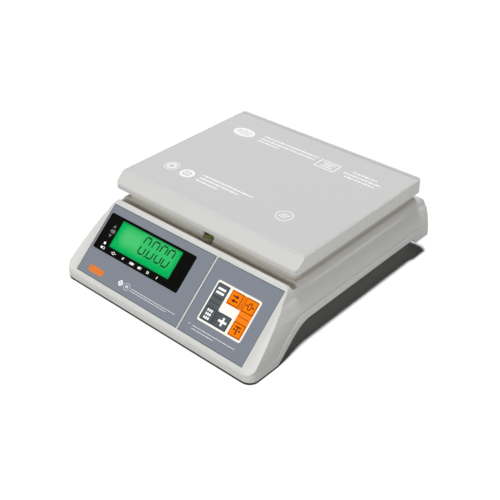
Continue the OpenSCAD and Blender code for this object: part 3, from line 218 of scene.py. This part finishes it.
def grainMaterial(name, color, roughness=0.5, grain=0.0004, bump=0.12, patch=0.05, colorChange=0.03,
                  roughnessChange=0.08, metallic=0.0, coat=0.0, specular=0.5, depth=0.00003, alpha=1.0,
                  emission=0.0, flatPatches=None, highPatches=None, panelPatches=None):
    material = bpy.data.materials.new(name)
    material.use_nodes = True
    s = NodeSheet(material.node_tree)
    s.tree.nodes.clear()
    out = s.add("ShaderNodeOutputMaterial")
    shader = s.add("ShaderNodeBsdfPrincipled")
    s.link(shader.outputs[0], out.inputs[0])
    paint = (*(linear(color) if isinstance(color, str) else color), 1)
    if panelPatches:
        place = s.group(panelGroup)
        paint = paintPatches(s, paint, (place["Across"], place["Down"]), panelPatches)
    if flatPatches or highPatches:
        inMillimetres = s.add("ShaderNodeVectorMath", operation="SCALE")
        s.link(s.add("ShaderNodeTexCoord").outputs["Object"], inMillimetres.inputs[0])
        inMillimetres.inputs["Scale"].default_value = 1 / mm
        parts = s.add("ShaderNodeSeparateXYZ")
        s.link(inMillimetres.outputs[0], parts.inputs[0])
        paint = paintPatches(s, paint, (parts.outputs[0], parts.outputs[1]), flatPatches or ())
        paint = paintPatches(s, paint, (parts.outputs[0], parts.outputs[2]), highPatches or ())
    grained = s.group(grainGroup, Color=paint, GrainSize=grain, PatchSize=patch, ColorChange=colorChange,
                      Roughness=roughness, RoughnessChange=roughnessChange)
    s.link(grained["Color"], shader.inputs["Base Color"])
    s.link(grained["Roughness"], shader.inputs["Roughness"])
    if bump:
        lift = s.add("ShaderNodeBump")
        lift.inputs["Strength"].default_value = bump
        lift.inputs["Distance"].default_value = depth
        s.link(grained["Height"], lift.inputs["Height"])
        s.link(lift.outputs[0], shader.inputs["Normal"])
    shader.inputs["Metallic"].default_value = metallic
    shader.inputs["Coat Weight"].default_value = coat
    shader.inputs["Specular IOR Level"].default_value = specular
    shader.inputs["Alpha"].default_value = alpha
    if emission:
        shader.inputs["Emission Strength"].default_value = emission
        s.link(grained["Color"], shader.inputs["Emission Color"])
    return material


# painted areas in millimetres, as paintPatches reads them; the display's, keypad's, lcd's and the border's painted
# shade run across the panel and down its slope, the deck's painted shadow, the pan skirts' painted highlight and the
# film's edges run across and back, and the tray's painted shade runs across and up
# the last of these colours is painted shade in a thin band along each overlay's edge, where the gap round it lies
darkInk, orangeInk, lineInk, overlayEdgeShade = "4d5559", "ff8000", "1c2022", "2f3439"
deepInk, creamInk = "4a2000", "fdfaf0"
# the display's first patch is painted shade along its overlay's edge; the other is print
displayPatches = [(-132.4, 35.1, 0.6, 89.2, 0.2, 0.2, "!" + overlayEdgeShade),
                  (-117.6, -93.3, 76.2, 84.2, 2.6, 0.2, "e07a30")]
keyPlaces = {"total": (63.8, 31.4), "units": (84.6, 31.4), "zero": (105.4, 31.4),
             "sample": (63.8, 59.4), "sum": (84.6, 59.4), "tare": (105.4, 59.4)}
# the keypad's first patch is painted shade along its overlay's edge; the rest is print
keypadPatches = [(38.5, 132.4, 0.6, 89.2, 0.2, 0.2, "!" + overlayEdgeShade), (53.4, 116.2, 20.8, 70, 2.6, 0.2, creamInk),
                 (55.2, 72.5, 23.3, 67.5, 1, 0.15, darkInk), (55.2, 93.3, 51.2, 67.5, 1, 0.15, darkInk),
                 (72, 76, 47, 51.4, 0, 0.1, darkInk), (72.5, 92, 40, 51.2, 3, 0.15, creamInk),
                 (76.3, 114, 23.3, 40, 1, 0.15, orangeInk), (97, 114, 23.3, 67.5, 1, 0.15, orangeInk),
                 (93.4, 97.4, 39.6, 43.6, 0, 0.1, orangeInk), (78, 97, 40, 50.6, 3, 0.15, creamInk),
                 (56, 71.6, 45.05, 45.75, 0.1, 0.15, lineInk), (98, 113, 45.05, 45.75, 0.1, 0.15, deepInk),
                 (73.6, 74.3, 52, 66.8, 0.1, 0.15, lineInk), (94.75, 95.35, 24.2, 38.8, 0.1, 0.15, deepInk)]
lcdPatches = [(-100, -54, 18, 39, 9, 11, "4dc873"), (-70, -14, 12.5, 38.5, 8, 9, "35c26a")]
# painted shade: the upper cover's front slope a little darker than the rest of the case
borderShadePatches = [(-141, 141, -5, 93, 9, 5, "d2d2ce")]
# painted shadow: the deck under the pan and tray darkened, with soft edges
deckShadowPatches = [(-135.5, 135.5, -83.5, 147, 2, 4, "ccc5ba")]
# painted shade: the tray darker towards its lower edge
trayShadePatches = [(-200, 200, 60, 80.8, 0.1, 6, "8b8477")]
# painted highlight: the pan's side skirts lighter than its top
panSkirtHighlightPatches = [(-139.5, 139.5, -300, 300, 0.1, 0.3, "!f0f0ea")]
# a dark line along the film's left and back edges, and a painted highlight along its front edge
filmEdgeLinesAndHighlightPatches = [(-137.9, 200, -200, 139.3, 0.1, 0.3, "!8c8c8a"), (-200, 200, -67.8, 200, 0.1, 0.3, "!f2f2f2")]


# settings that several paints share
overlayPaint = {"color": "7d838d", "roughness": 0.5, "grain": 0.0002, "bump": 0.08, "colorChange": 0.02,
                "specular": 0.3}
casePaint = {"color": "dadad7", "roughness": 0.5, "grain": 0.0005, "bump": 0.2}


def keyOutlines(names, line, face):
    # a thin line round each key's face, and the face's own colour inside it
    blur = 0.15
    return [patch for x, down in (keyPlaces[name] for name in names) for patch in
            ((x - 7.9, x + 7.9, down - 7.6, down + 7.6, 0.8, blur, line),
             (x - 7.3, x + 7.3, down - 7.0, down + 7.0, 0.5, blur, face))]


materials = {
    "case": grainMaterial("casePlastic", **casePaint),
    # the pan's side skirts carry a painted highlight
    "pan": grainMaterial("panPlastic", "c7c7c5", 0.45, grain=0.0007, bump=0.08, flatPatches=panSkirtHighlightPatches),
    # the film carries a painted highlight along its front edge
    "film": grainMaterial("panFilm", "dddddd", 0.42, grain=0.0003, bump=0.03, colorChange=0.015,
                          flatPatches=filmEdgeLinesAndHighlightPatches),
    "overlay": grainMaterial("overlayFilm", **overlayPaint),
    "bezel": grainMaterial("windowBlack", "060705", 0.55, bump=0.02, specular=0.03),
    "lens": grainMaterial("windowLens", (0.02, 0.03, 0.02), 0.2, bump=0.0, roughnessChange=0.02, alpha=0.04,
                          specular=0.2),
    "lcd": grainMaterial("displayGreen", "04b65b", 0.5, bump=0.0, colorChange=0.02, emission=0.15, specular=0.0,
                         panelPatches=lcdPatches),
    "backlight": grainMaterial("backlightPlate", (0.7, 0.85, 0.75), 0.6),
    "black": grainMaterial("blackPlastic", (0.02, 0.02, 0.021), 0.45, bump=0.15),
    "board": grainMaterial("circuitBoard", (0.02, 0.16, 0.07), 0.35, grain=0.0006, colorChange=0.2),
    "key_dark": grainMaterial("keyDark", darkInk, 0.5, grain=0.0002, bump=0.08, specular=0.3,
                              panelPatches=keyOutlines(("total", "sample", "sum"), lineInk, darkInk)),
    "key_orange": grainMaterial("keyOrange", orangeInk, 0.5, grain=0.0002, bump=0.08, specular=0.08,
                                panelPatches=keyOutlines(("units", "zero", "tare"), deepInk, orangeInk)),
    "cell": grainMaterial("cellAluminium", (0.75, 0.75, 0.76), 0.35, metallic=1.0, grain=0.0008),
    "cast": grainMaterial("castAluminium", (0.6, 0.61, 0.63), 0.55, metallic=1.0, grain=0.0012, bump=0.4),
    "zinc": grainMaterial("zincPlate", (0.66, 0.67, 0.69), 0.32, metallic=1.0, grain=0.0006, colorChange=0.12),
    "bolt": grainMaterial("blackOxide", (0.03, 0.03, 0.033), 0.4, metallic=0.6),
    "rubber": grainMaterial("footRubber", (0.03, 0.03, 0.03), 0.75, grain=0.0006, bump=0.5),
    "foam": grainMaterial("cellFoam", (0.05, 0.05, 0.055), 0.9, grain=0.0008, bump=0.8),
    "chip": grainMaterial("chipPlastic", (0.02, 0.02, 0.02), 0.5),
    "socket": grainMaterial("socketNylon", (0.8, 0.78, 0.7), 0.5),
    "battery": grainMaterial("batteryCase", (0.06, 0.065, 0.07), 0.5, bump=0.2),
    "rocker": grainMaterial("rockerRed", (0.6, 0.02, 0.015), 0.25, bump=0.02, coat=0.3),
    "fluid": grainMaterial("vialFluid", "b5bd72", 0.08, bump=0.0, coat=0.6),
    "brass": grainMaterial("insertBrass", (0.72, 0.52, 0.22), 0.3, metallic=1.0),
    "cable": grainMaterial("cableGrey", (0.12, 0.12, 0.13), 0.55),
    "lead": grainMaterial("leadRed", (0.5, 0.03, 0.02), 0.5),
    "ribbon": grainMaterial("ribbonGrey", (0.6, 0.6, 0.62), 0.5),
}
# the white ink glows a little: painted light that makes the white prints brighter than the lamps alone would
inks = {"whiteInkGlow": grainMaterial("whiteInkGlow", "ffffff", 0.55, bump=0.0, specular=0.2, emission=0.12),
        "greyInk": grainMaterial("greyInk", "6d7272", 0.55, bump=0.0, specular=0.2),
        "segmentInk": grainMaterial("segmentInk", (0.004, 0.02, 0.01), 0.6, bump=0.0, specular=0.1),
        "brownInk": grainMaterial("brownInk", "3a1a08", 0.55, bump=0.0, specular=0.2),
        "lineInk": grainMaterial("lineInk", "23282a", 0.55, bump=0.0, specular=0.2)}
slotOf = {part["node"]: part["material_slot"] for part in frame["record"]["subparts"]}
# nodes with a paint of their own, in place of their slot's
nodePaint = {"keypad_overlay": grainMaterial("keypadFilm", **overlayPaint, panelPatches=keypadPatches),
             # the tray's colour is darker and warmer than the case's as painted shade under the pan, with more painted
             # shade towards its lower edge
             "pan_tray": grainMaterial("trayPlasticShaded", **(casePaint | {"color": "bebbb3"}), highPatches=trayShadePatches),
             # the cup is darkened as painted shade, to match the tray's painted shade round it
             "level_cup": grainMaterial("cupPlasticShaded", "77715f", 0.5, bump=0.1),
             # the upper cover carries painted shade on its front slope and a painted shadow on its deck under the pan
             "top_shell": grainMaterial("coverPlastic", **casePaint, panelPatches=borderShadePatches,
                                        flatPatches=deckShadowPatches),
             "display_overlay": grainMaterial("displayFilm", **overlayPaint, panelPatches=displayPatches)}
for nodeName, cadObject in cadNodes.items():
    cadObject.data.materials.clear()
    cadObject.data.materials.append(nodePaint.get(nodeName, materials[slotOf[nodeName]]))
print("materials assigned")


def newPiece(name, mesh, material, body, stands=()):
    # links a mesh as a piece that rides on its body; stands are the CAD nodes it stands for
    mesh.materials.append(material)
    piece = bpy.data.objects.new(name, mesh)
    scene.collection.objects.link(piece)
    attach(piece, body)
    if stands:
        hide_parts(*stands)
    return piece


# how the softened copies are made, in metres and degrees
softenSet = {"mergeDistance": 0.00001, "flatAngle": 0.6, "edgeAngle": 28, "segments": 3}
# mouldings whose edges get a small round: piece, body, width of the round in metres
softened = {"pan": ("panShell", "pan_body", 0.0006), "pan_tray": ("trayShell", "platform", 0.0006),
            "top_shell": ("topCover", "chassis", 0.0005), "base_shell": ("baseCover", "chassis", 0.0005)}


def softenedCopy(nodeName, name, body, width, c):
    # a copy of the node's loose triangles, merged, its flat faces joined, then bevelled at its edges
    sheet = bmesh.new()
    sheet.from_mesh(cadNodes[nodeName].data)
    bmesh.ops.remove_doubles(sheet, verts=sheet.verts, dist=c["mergeDistance"])
    bmesh.ops.dissolve_limit(sheet, angle_limit=math.radians(c["flatAngle"]), verts=sheet.verts,
                             edges=sheet.edges, use_dissolve_boundaries=False)
    mesh = bpy.data.meshes.new(name)
    sheet.to_mesh(mesh)
    sheet.free()
    mesh.polygons.foreach_set("use_smooth", [True] * len(mesh.polygons))
    piece = newPiece(name, mesh, cadNodes[nodeName].data.materials[0], body, (nodeName,))
    bevel = piece.modifiers.new("soften", "BEVEL")
    bevel.width, bevel.segments = width, c["segments"]
    bevel.limit_method, bevel.angle_limit = "ANGLE", math.radians(c["edgeAngle"])
    bevel.miter_outer = "MITER_ARC"
    bevel.harden_normals = True


for nodeName, (pieceName, bodyName, roundWidth) in softened.items():
    softenedCopy(nodeName, pieceName, bodyName, roundWidth, softenSet)
print("mouldings softened")


# flat marks: outlines in a plane, u to the right and v up, both in millimetres
def barLoop(u, v, width, height, corner=None, turn=0.0, steps=5):
    # a rectangle with rounded corners: each corner's quarter circle carried to its own centre
    corner = min(width, height) / 2 if corner is None else corner
    angle = np.linspace(0, np.pi / 2, steps)[None, :] + np.arange(4)[:, None] * np.pi / 2
    side = np.array([[1, 1], [-1, 1], [-1, -1], [1, -1]]) * (np.array([width, height]) / 2 - corner)
    loop = (side[:, None, :] + corner * np.stack([np.cos(angle), np.sin(angle)], -1)).reshape(-1, 2)
    c, s = math.cos(math.radians(turn)), math.sin(math.radians(turn))
    return loop @ np.array([[c, s], [-s, c]]) + (u, v)


def cornerLoop(*corners):
    return np.array(corners, float)


def ringLoops(u, v, radius, line, wide=1.0, steps=40):
    # two ellipses a line's width apart
    angle = np.linspace(0, 2 * np.pi, steps, endpoint=False)
    circle = np.stack([np.cos(angle) * wide, np.sin(angle)], -1)
    step = np.stack([np.cos(angle), np.sin(angle)], -1)
    return circle * radius + (u, v), circle * radius - step * line + (u, v)


def dashLoops(left, right, v, height, word):
    # a line of plain dashes with word-like lengths, in place of small print
    share = np.array([1.5, 0.9, 2.2, 1.2, 0.7, 1.9, 1.4, 2.6, 1.0, 1.7])
    most, space, shortest = 60, word * 0.25, 0.4
    long = np.resize(np.roll(share, int(abs(v))), most) * word
    starts = left + np.concatenate([[0], np.cumsum(long + space)[:-1]])
    ends = np.minimum(starts + long, right)
    keep = ends - starts > shortest
    return [barLoop((a + b) / 2, v, b - a, height) for a, b in zip(starts[keep], ends[keep])]


def onPanel(u, v, h):
    # v is minus the distance down the slope, h the height above the overlays
    return np.stack([u, panelSet["y"] + v * slopeCos - h * slopeSin, panelSet["z"] + v * slopeSin + h * slopeCos], -1)


def onFlat(top):
    # u to the right and v to the back of a flat top
    return lambda u, v, h: np.stack([u, v, top + h], -1)


def addMarks(name, loops, place, low, high, material, body):
    # each outline becomes a thin closed plate from low to high; a pair of outlines becomes a ring
    points, faces, count = [], [], 0
    for loop in loops:
        ring = isinstance(loop, tuple)
        rims = loop if ring else (loop,)
        n = len(rims[0])
        levels = [place(rim[:, 0], rim[:, 1], np.full(n, h)) for rim in rims for h in (low, high)]
        points += levels
        k = np.arange(n) + count
        after = (np.arange(n) + 1) % n + count
        faces += np.stack([k, after, after + n, k + n], -1).tolist()
        if ring:
            inner = 2 * n
            faces += np.stack([after + inner, k + inner, k + inner + n, after + inner + n], -1).tolist()
            faces += np.stack([k + n, after + n, after + inner + n, k + inner + n], -1).tolist()
            faces += np.stack([after, k, k + inner, after + inner], -1).tolist()
        else:
            faces += [(k + n).tolist(), k[::-1].tolist()]
        count += n * len(levels)
    mesh = bpy.data.meshes.new(name)
    mesh.from_pydata((np.concatenate(points) * mm).tolist(), [], faces)
    newPiece(name, mesh, material, body)


# heights in millimetres: the digits under the window, and the prints' thickness on keys, window, overlays and film
printSet = {"digitsLow": -1.65, "digitsHigh": -1.62, "windowThick": 0.03, "overlayThick": 0.02, "keyThick": 0.03,
            "filmThick": 0.02}
# the display: four seven-segment zeros and a point
digitSet = {"lefts": (-65.4, -51.7, -38.6, -26.6), "width": 10.1, "top": 16.2, "height": 23.2, "line": 1.75,
            "lean": 2.3, "gap": 0.3, "break": 1.5, "point": (-54.6, 38.8)}


def zeroLoops(left, d):
    # six segments of a nought: bars with pointed ends, then leaned by their distance down
    w, h, t, g = d["width"], d["height"], d["line"], d["gap"]
    half = t / 2

    def bar(u0, v0, u1, v1):
        along = np.array([u1 - u0, v1 - v0]) / math.hypot(u1 - u0, v1 - v0)
        side = np.array([-along[1], along[0]]) * half
        a, b = np.array([u0, v0]) + along * g, np.array([u1, v1]) - along * g
        return np.array([a, a + along * half - side, b - along * half - side, b, b - along * half + side,
                         a + along * half + side])

    u0, u1, top, middle, low = left + half, left + w - half, -d["top"] - half, -d["top"] - h / 2, -d["top"] - h + half
    loops = [bar(u0, top, u1, top), bar(u0, low, u1, low)]
    for u in (u0, u1):
        loops += [bar(u, middle + d["break"], u, top), bar(u, low, u, middle - d["break"])]
    return [np.stack([loop[:, 0] + d["lean"] * (loop[:, 1] + d["top"]) / h, loop[:, 1]], -1) for loop in loops]


digitLoops = [loop for left in digitSet["lefts"] for loop in zeroLoops(left, digitSet)]
digitLoops.append(barLoop(digitSet["point"][0], -digitSet["point"][1], 2.0, 2.0, 0.4))
addMarks("displayDigits", digitLoops, onPanel, printSet["digitsLow"], printSet["digitsHigh"], inks["segmentInk"],
         "chassis")

# marks round the display on the black window
greyMarks = [cornerLoop((-117.1, -26.1), (-112, -26.1), (-114.5, -22)),
             cornerLoop((-117.1, -35), (-114.5, -38.9), (-112, -35)),
             cornerLoop((-118.4, -30.6), (-115.4, -32.9), (-110.2, -32.9), (-110.2, -28.4), (-115.4, -28.4))]
whiteMarks = [barLoop(-115.4, -47.1, 3.6, 3.6), barLoop(-116.9, -52.9, 3, 3), ringLoops(-113.4, -52.9, 1.7, 0.5, 1.2),
              ringLoops(-95.7, -52.9, 1.8, 0.6, 1.2), barLoop(-99, -52.9, 1.6, 0.6), barLoop(-92.4, -52.9, 1.6, 0.6),
              barLoop(-78.9, -51.9, 2.8, 0.9), barLoop(-79.3, -53.7, 2.2, 0.9), barLoop(-79.6, -52.8, 0.9, 3)]
whiteMarks += [barLoop(u, -52.9, width, 3.1, 0.3, turn=-12) for u, width in
               ((-66.8, 1), (-65, 1), (-63.2, 1.6), (-61, 1), (-52.6, 0.9), (-50.8, 1.8), (-48.4, 0.9), (-21.6, 1.1))]
whiteMarks += [barLoop(u, v, 1.4, 1.1, 0.2) for u in (-37.9, -35.9) for v in (-51.9, -53.8)]
for marksName, marks, inkName in (("windowGreyMarks", greyMarks, "greyInk"),
                                  ("windowWhiteMarks", whiteMarks, "whiteInkGlow")):
    addMarks(marksName, marks, onPanel, 0.0, printSet["windowThick"], inks[inkName], "chassis")

# two small round signs and lines of small print below the window and the keys
overlayMarks = [ringLoops(-63.3, -78.3, 3.2, 1.1), barLoop(-63.3, -78.3, 8.2, 0.7),
                barLoop(-63.3, -78.3, 8.2, 0.7, turn=90),
                ringLoops(-52.6, -78.4, 4.4, 0.3, 1.1), barLoop(-54, -78.4, 0.7, 3.4), barLoop(-52.6, -78.4, 0.7, 3.4),
                barLoop(-51.2, -78.4, 0.7, 3.4)]
overlayMarks += [loop for left, right, down in ((-45.5, 25.3, 78), (-46, 12.5, 80.6), (46.6, 50, 77.6),
                                                (53.4, 114.6, 78), (53.6, 85.3, 81.3))
                 for loop in dashLoops(left, right, -down, 0.5, 1.7)]
addMarks("overlayMarks", overlayMarks, onPanel, 0.0, printSet["overlayThick"], inks["whiteInkGlow"], "chassis")
print("panel marks made")


def arrowLoop(u, v, length, height, way=1):
    # a shaft and a head as long as it is high, whose point is at u + length, or at u - length where way is -1
    neck, shaft = length - height, 0.16
    along = np.array([0, neck, neck, length, neck, neck, 0]) * way
    across = np.array([-shaft, -shaft, -0.5, 0, 0.5, shaft, shaft]) * height * way
    return np.stack([u + along, v + across], -1)


# plain signs on the keys, each drawn about its key's middle
keySigns = {
    "total": ("whiteInkGlow", [barLoop(0, 2.3, 11, 2.5, 0.4), barLoop(0, -2.3, 11, 2.5, 0.4)]),
    "units": ("brownInk", [arrowLoop(-4.4, 2.5, 8.8, 4.4), arrowLoop(4.4, -2.5, 8.8, 4.4, -1)]),
    "zero": ("brownInk", [ringLoops(0, 0, 4.4, 1.1, 0.6), arrowLoop(-5.4, 0, 2.6, 2.6),
                          arrowLoop(5.4, 0, 2.6, 2.6, -1)]),
    "sample": ("whiteInkGlow", [barLoop(u, v, 1.9, 2.9, 0.4) for u in (-2.7, 0, 2.7) for v in (-4.4, 0, 4.4)]),
    "sum": ("whiteInkGlow", [barLoop(0, 0, 11.4, 2.5, 0.4), barLoop(0, 3.05, 2.5, 3.6, 0.4),
                         barLoop(0, -3.05, 2.5, 3.6, 0.4)]),
    "tare": ("brownInk", [barLoop(0, 3.4, 7.4, 1.5, 0.3), barLoop(0, -1.3, 1.6, 7.6, 0.3),
                          arrowLoop(-4.6, -0.2, 3.2, 3.0), arrowLoop(4.6, -0.2, 3.2, 3.0, -1)]),
}
keyTop = 0.3  # the key's face above the overlay
for keyName, (inkName, signLoops) in keySigns.items():
    middle = np.array([keyPlaces[keyName][0], -keyPlaces[keyName][1]])
    moved = [tuple(rim + middle for rim in loop) if isinstance(loop, tuple) else loop + middle
             for loop in signLoops]
    addMarks("sign_" + keyName, moved, onPanel, keyTop, keyTop + printSet["keyThick"], inks[inkName],
             f"key_{keyName}_body")
print("key signs made")


# plain prints on the pan's film: an oval and two rounds, a framed sign, a ring, then lines of small print
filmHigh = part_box("pan_film")[1][2] / mm
filmMiddleY = 37.0
filmMarks = [ringLoops(-96.8, 61, 10.2, 4.6, 1.58), barLoop(-96.8, 61, 26, 1.6)]
filmMarks += [barLoop(u, 61, 2.0, 11.5, 0.4, turn=-14) for u in (-102.6, -99, -94.6, -91)]
filmMarks += [ringLoops(-103.4, -60.9, 10.4, 1.0, steps=6), ringLoops(-103.4, -60.9, 6.4, 2.6),
              ringLoops(-75.9, -62.2, 8.8, 3.6, 1.14), barLoop(-75.9, -62.2, 16, 1.8), barLoop(-75.9, -62.2, 1.8, 9)]
filmMarks += [ringLoops(72, -59, 10.4, 1.1)] + [barLoop(72 + shift, -59, 10, 1.3, turn=72) for shift in (-3.8, 0, 3.8)]
filmMarks += [barLoop(u, v, width, height, 0.3) for u, v, width, height in
              ((38.1, 69.4, 29.6, 1.5), (38.1, 52.4, 29.6, 1.5), (24, 60.9, 1.5, 18), (52.2, 60.9, 1.5, 18),
               (38.1, 64.9, 19, 1.6), (38.1, 60.9, 12, 1.6), (38.1, 56.9, 19, 1.6))]
filmMarks += [loop for left, right, v in
              ((-69.2, 18.2, 69.5), (-69.2, 17.6, 62.4), (-69.2, -34, 56), (-57.8, 20, -52.9), (-57.8, 3.8, -59.3),
               (-57.8, -23, -65.9), (70.8, 105.8, 67.9), (62.3, 114.7, 61), (67.8, 110.4, 54.2))
              for loop in dashLoops(left, right, v, 2.7, 2.6)]
filmMarks = [tuple(rim + (0, filmMiddleY) for rim in loop) if isinstance(loop, tuple) else loop + (0, filmMiddleY)
             for loop in filmMarks]
addMarks("filmPrints", filmMarks, onFlat(filmHigh), 0.0, printSet["filmThick"], inks["whiteInkGlow"], "pan_body")
print("film prints made")


# lamps: strength in W/m2, the direction they shine from, their softness in degrees and what they light;
# those whose direction rises less than glareRise leave no glare, and one from below shines through the floor
lightSet = {"world": 0.01, "glareRise": 0.5,
            "lamps": {"keySun": (1.55, (-0.1, -0.02, 1.2), 8, "object"),
                      "floorSun": (10.5, (0.1, -0.09, 1.0), 10, "floor"),
                      "skySun": (0.4, (0, 0, 1), 170, "object"),
                      "sideSun": (0.85, (1.0, -0.1, 0.35), 40, "object"),
                      "frontSun": (2.15, (-0.2, -1.0, 0.15), 45, "object"),
                      "lowSun": (0.5, (0, -0.1, -1.0), 120, "object")}}


# floor: half its size and its height in metres, its two pale greys, how much light leaves it towards the object,
# a weak glow of its own, and the scale of its noise
floorSet = {"half": 6.0, "height": -0.0002, "pale": (0.31, 0.316), "bounce": 0.08, "lift": 0.003, "noise": 8}


def grey(value):
    return (value, value, value, 1)


def addFloor(c):
    # a pale floor with the object's shadow on it; less light than the camera sees bounces off it,
    # and from below it can be seen through
    half, z = c["half"], c["height"]
    mesh = bpy.data.meshes.new("floor")
    mesh.from_pydata([(-half, -half, z), (half, -half, z), (half, half, z), (-half, half, z)], [], [(0, 1, 2, 3)])
    floor = bpy.data.objects.new("floor", mesh)
    scene.collection.objects.link(floor)
    material = bpy.data.materials.new("floorPale")
    material.use_nodes = True
    s = NodeSheet(material.node_tree)
    s.tree.nodes.clear()
    out = s.add("ShaderNodeOutputMaterial")
    matte = s.add("ShaderNodeBsdfPrincipled")
    noise = s.add("ShaderNodeTexNoise")
    noise.inputs["Scale"].default_value = c["noise"]
    seen = s.add("ShaderNodeLightPath").outputs["Is Camera Ray"]
    pale = s.blendColor(noise.outputs["Fac"], *(grey(value) for value in c["pale"]))
    s.link(s.blendColor(seen, grey(c["bounce"]), pale), matte.inputs["Base Color"])
    matte.inputs["Roughness"].default_value = 0.9
    matte.inputs["Specular IOR Level"].default_value = 0.1
    s.link(s.maths("MULTIPLY", seen, c["lift"]), matte.inputs["Emission Strength"])
    matte.inputs["Emission Color"].default_value = grey(1)
    mix = s.add("ShaderNodeMixShader")
    s.link(s.add("ShaderNodeNewGeometry").outputs["Backfacing"], mix.inputs[0])
    s.link(matte.outputs[0], mix.inputs[1])
    s.link(s.add("ShaderNodeBsdfTransparent").outputs[0], mix.inputs[2])
    s.link(mix.outputs[0], out.inputs[0])
    mesh.materials.append(material)
    return floor


def addWorld(strength):
    # an even grey sky that lights the object, seen as white by the camera and in reflections
    world = bpy.data.worlds.new("studio")
    scene.world = world
    world.use_nodes = True
    s = NodeSheet(world.node_tree)
    s.tree.nodes.clear()
    out = s.add("ShaderNodeOutputWorld")
    dim, white = s.add("ShaderNodeBackground"), s.add("ShaderNodeBackground")
    dim.inputs["Strength"].default_value = strength
    white.inputs["Color"].default_value = grey(1)
    rays = s.add("ShaderNodeLightPath")
    seen = s.maths("MAXIMUM", rays.outputs["Is Camera Ray"],
                   s.maths("MAXIMUM", rays.outputs["Is Glossy Ray"], rays.outputs["Is Transmission Ray"]))
    mix = s.add("ShaderNodeMixShader")
    s.link(seen, mix.inputs[0])
    s.link(dim.outputs[0], mix.inputs[1])
    s.link(white.outputs[0], mix.inputs[2])
    s.link(mix.outputs[0], out.inputs[0])


def addSun(name, strength, shinesFrom, softness, lights, floor):
    # a collection that holds the floor says whether the lamp lights only the floor or all but the floor
    data = bpy.data.lights.new(name, "SUN")
    data.energy, data.angle = strength, math.radians(softness)
    lamp = bpy.data.objects.new(name, data)
    lamp.rotation_mode = "QUATERNION"
    lamp.rotation_quaternion = Vector(shinesFrom).to_track_quat("Z", "Y")
    lamp.visible_glossy = shinesFrom[2] > lightSet["glareRise"]
    scene.collection.objects.link(lamp)
    linked = bpy.data.collections.new(name + "Floor")
    linked.objects.link(floor)
    linked.collection_objects[0].light_linking.link_state = "INCLUDE" if lights == "floor" else "EXCLUDE"
    lamp.light_linking.receiver_collection = linked
    if shinesFrom[2] < 0:
        lamp.light_linking.blocker_collection = linked


paleFloor = addFloor(floorSet)
addWorld(lightSet["world"])
for lampName, lampValues in lightSet["lamps"].items():
    addSun(lampName, *lampValues, paleFloor)
print("floor and lights ready")
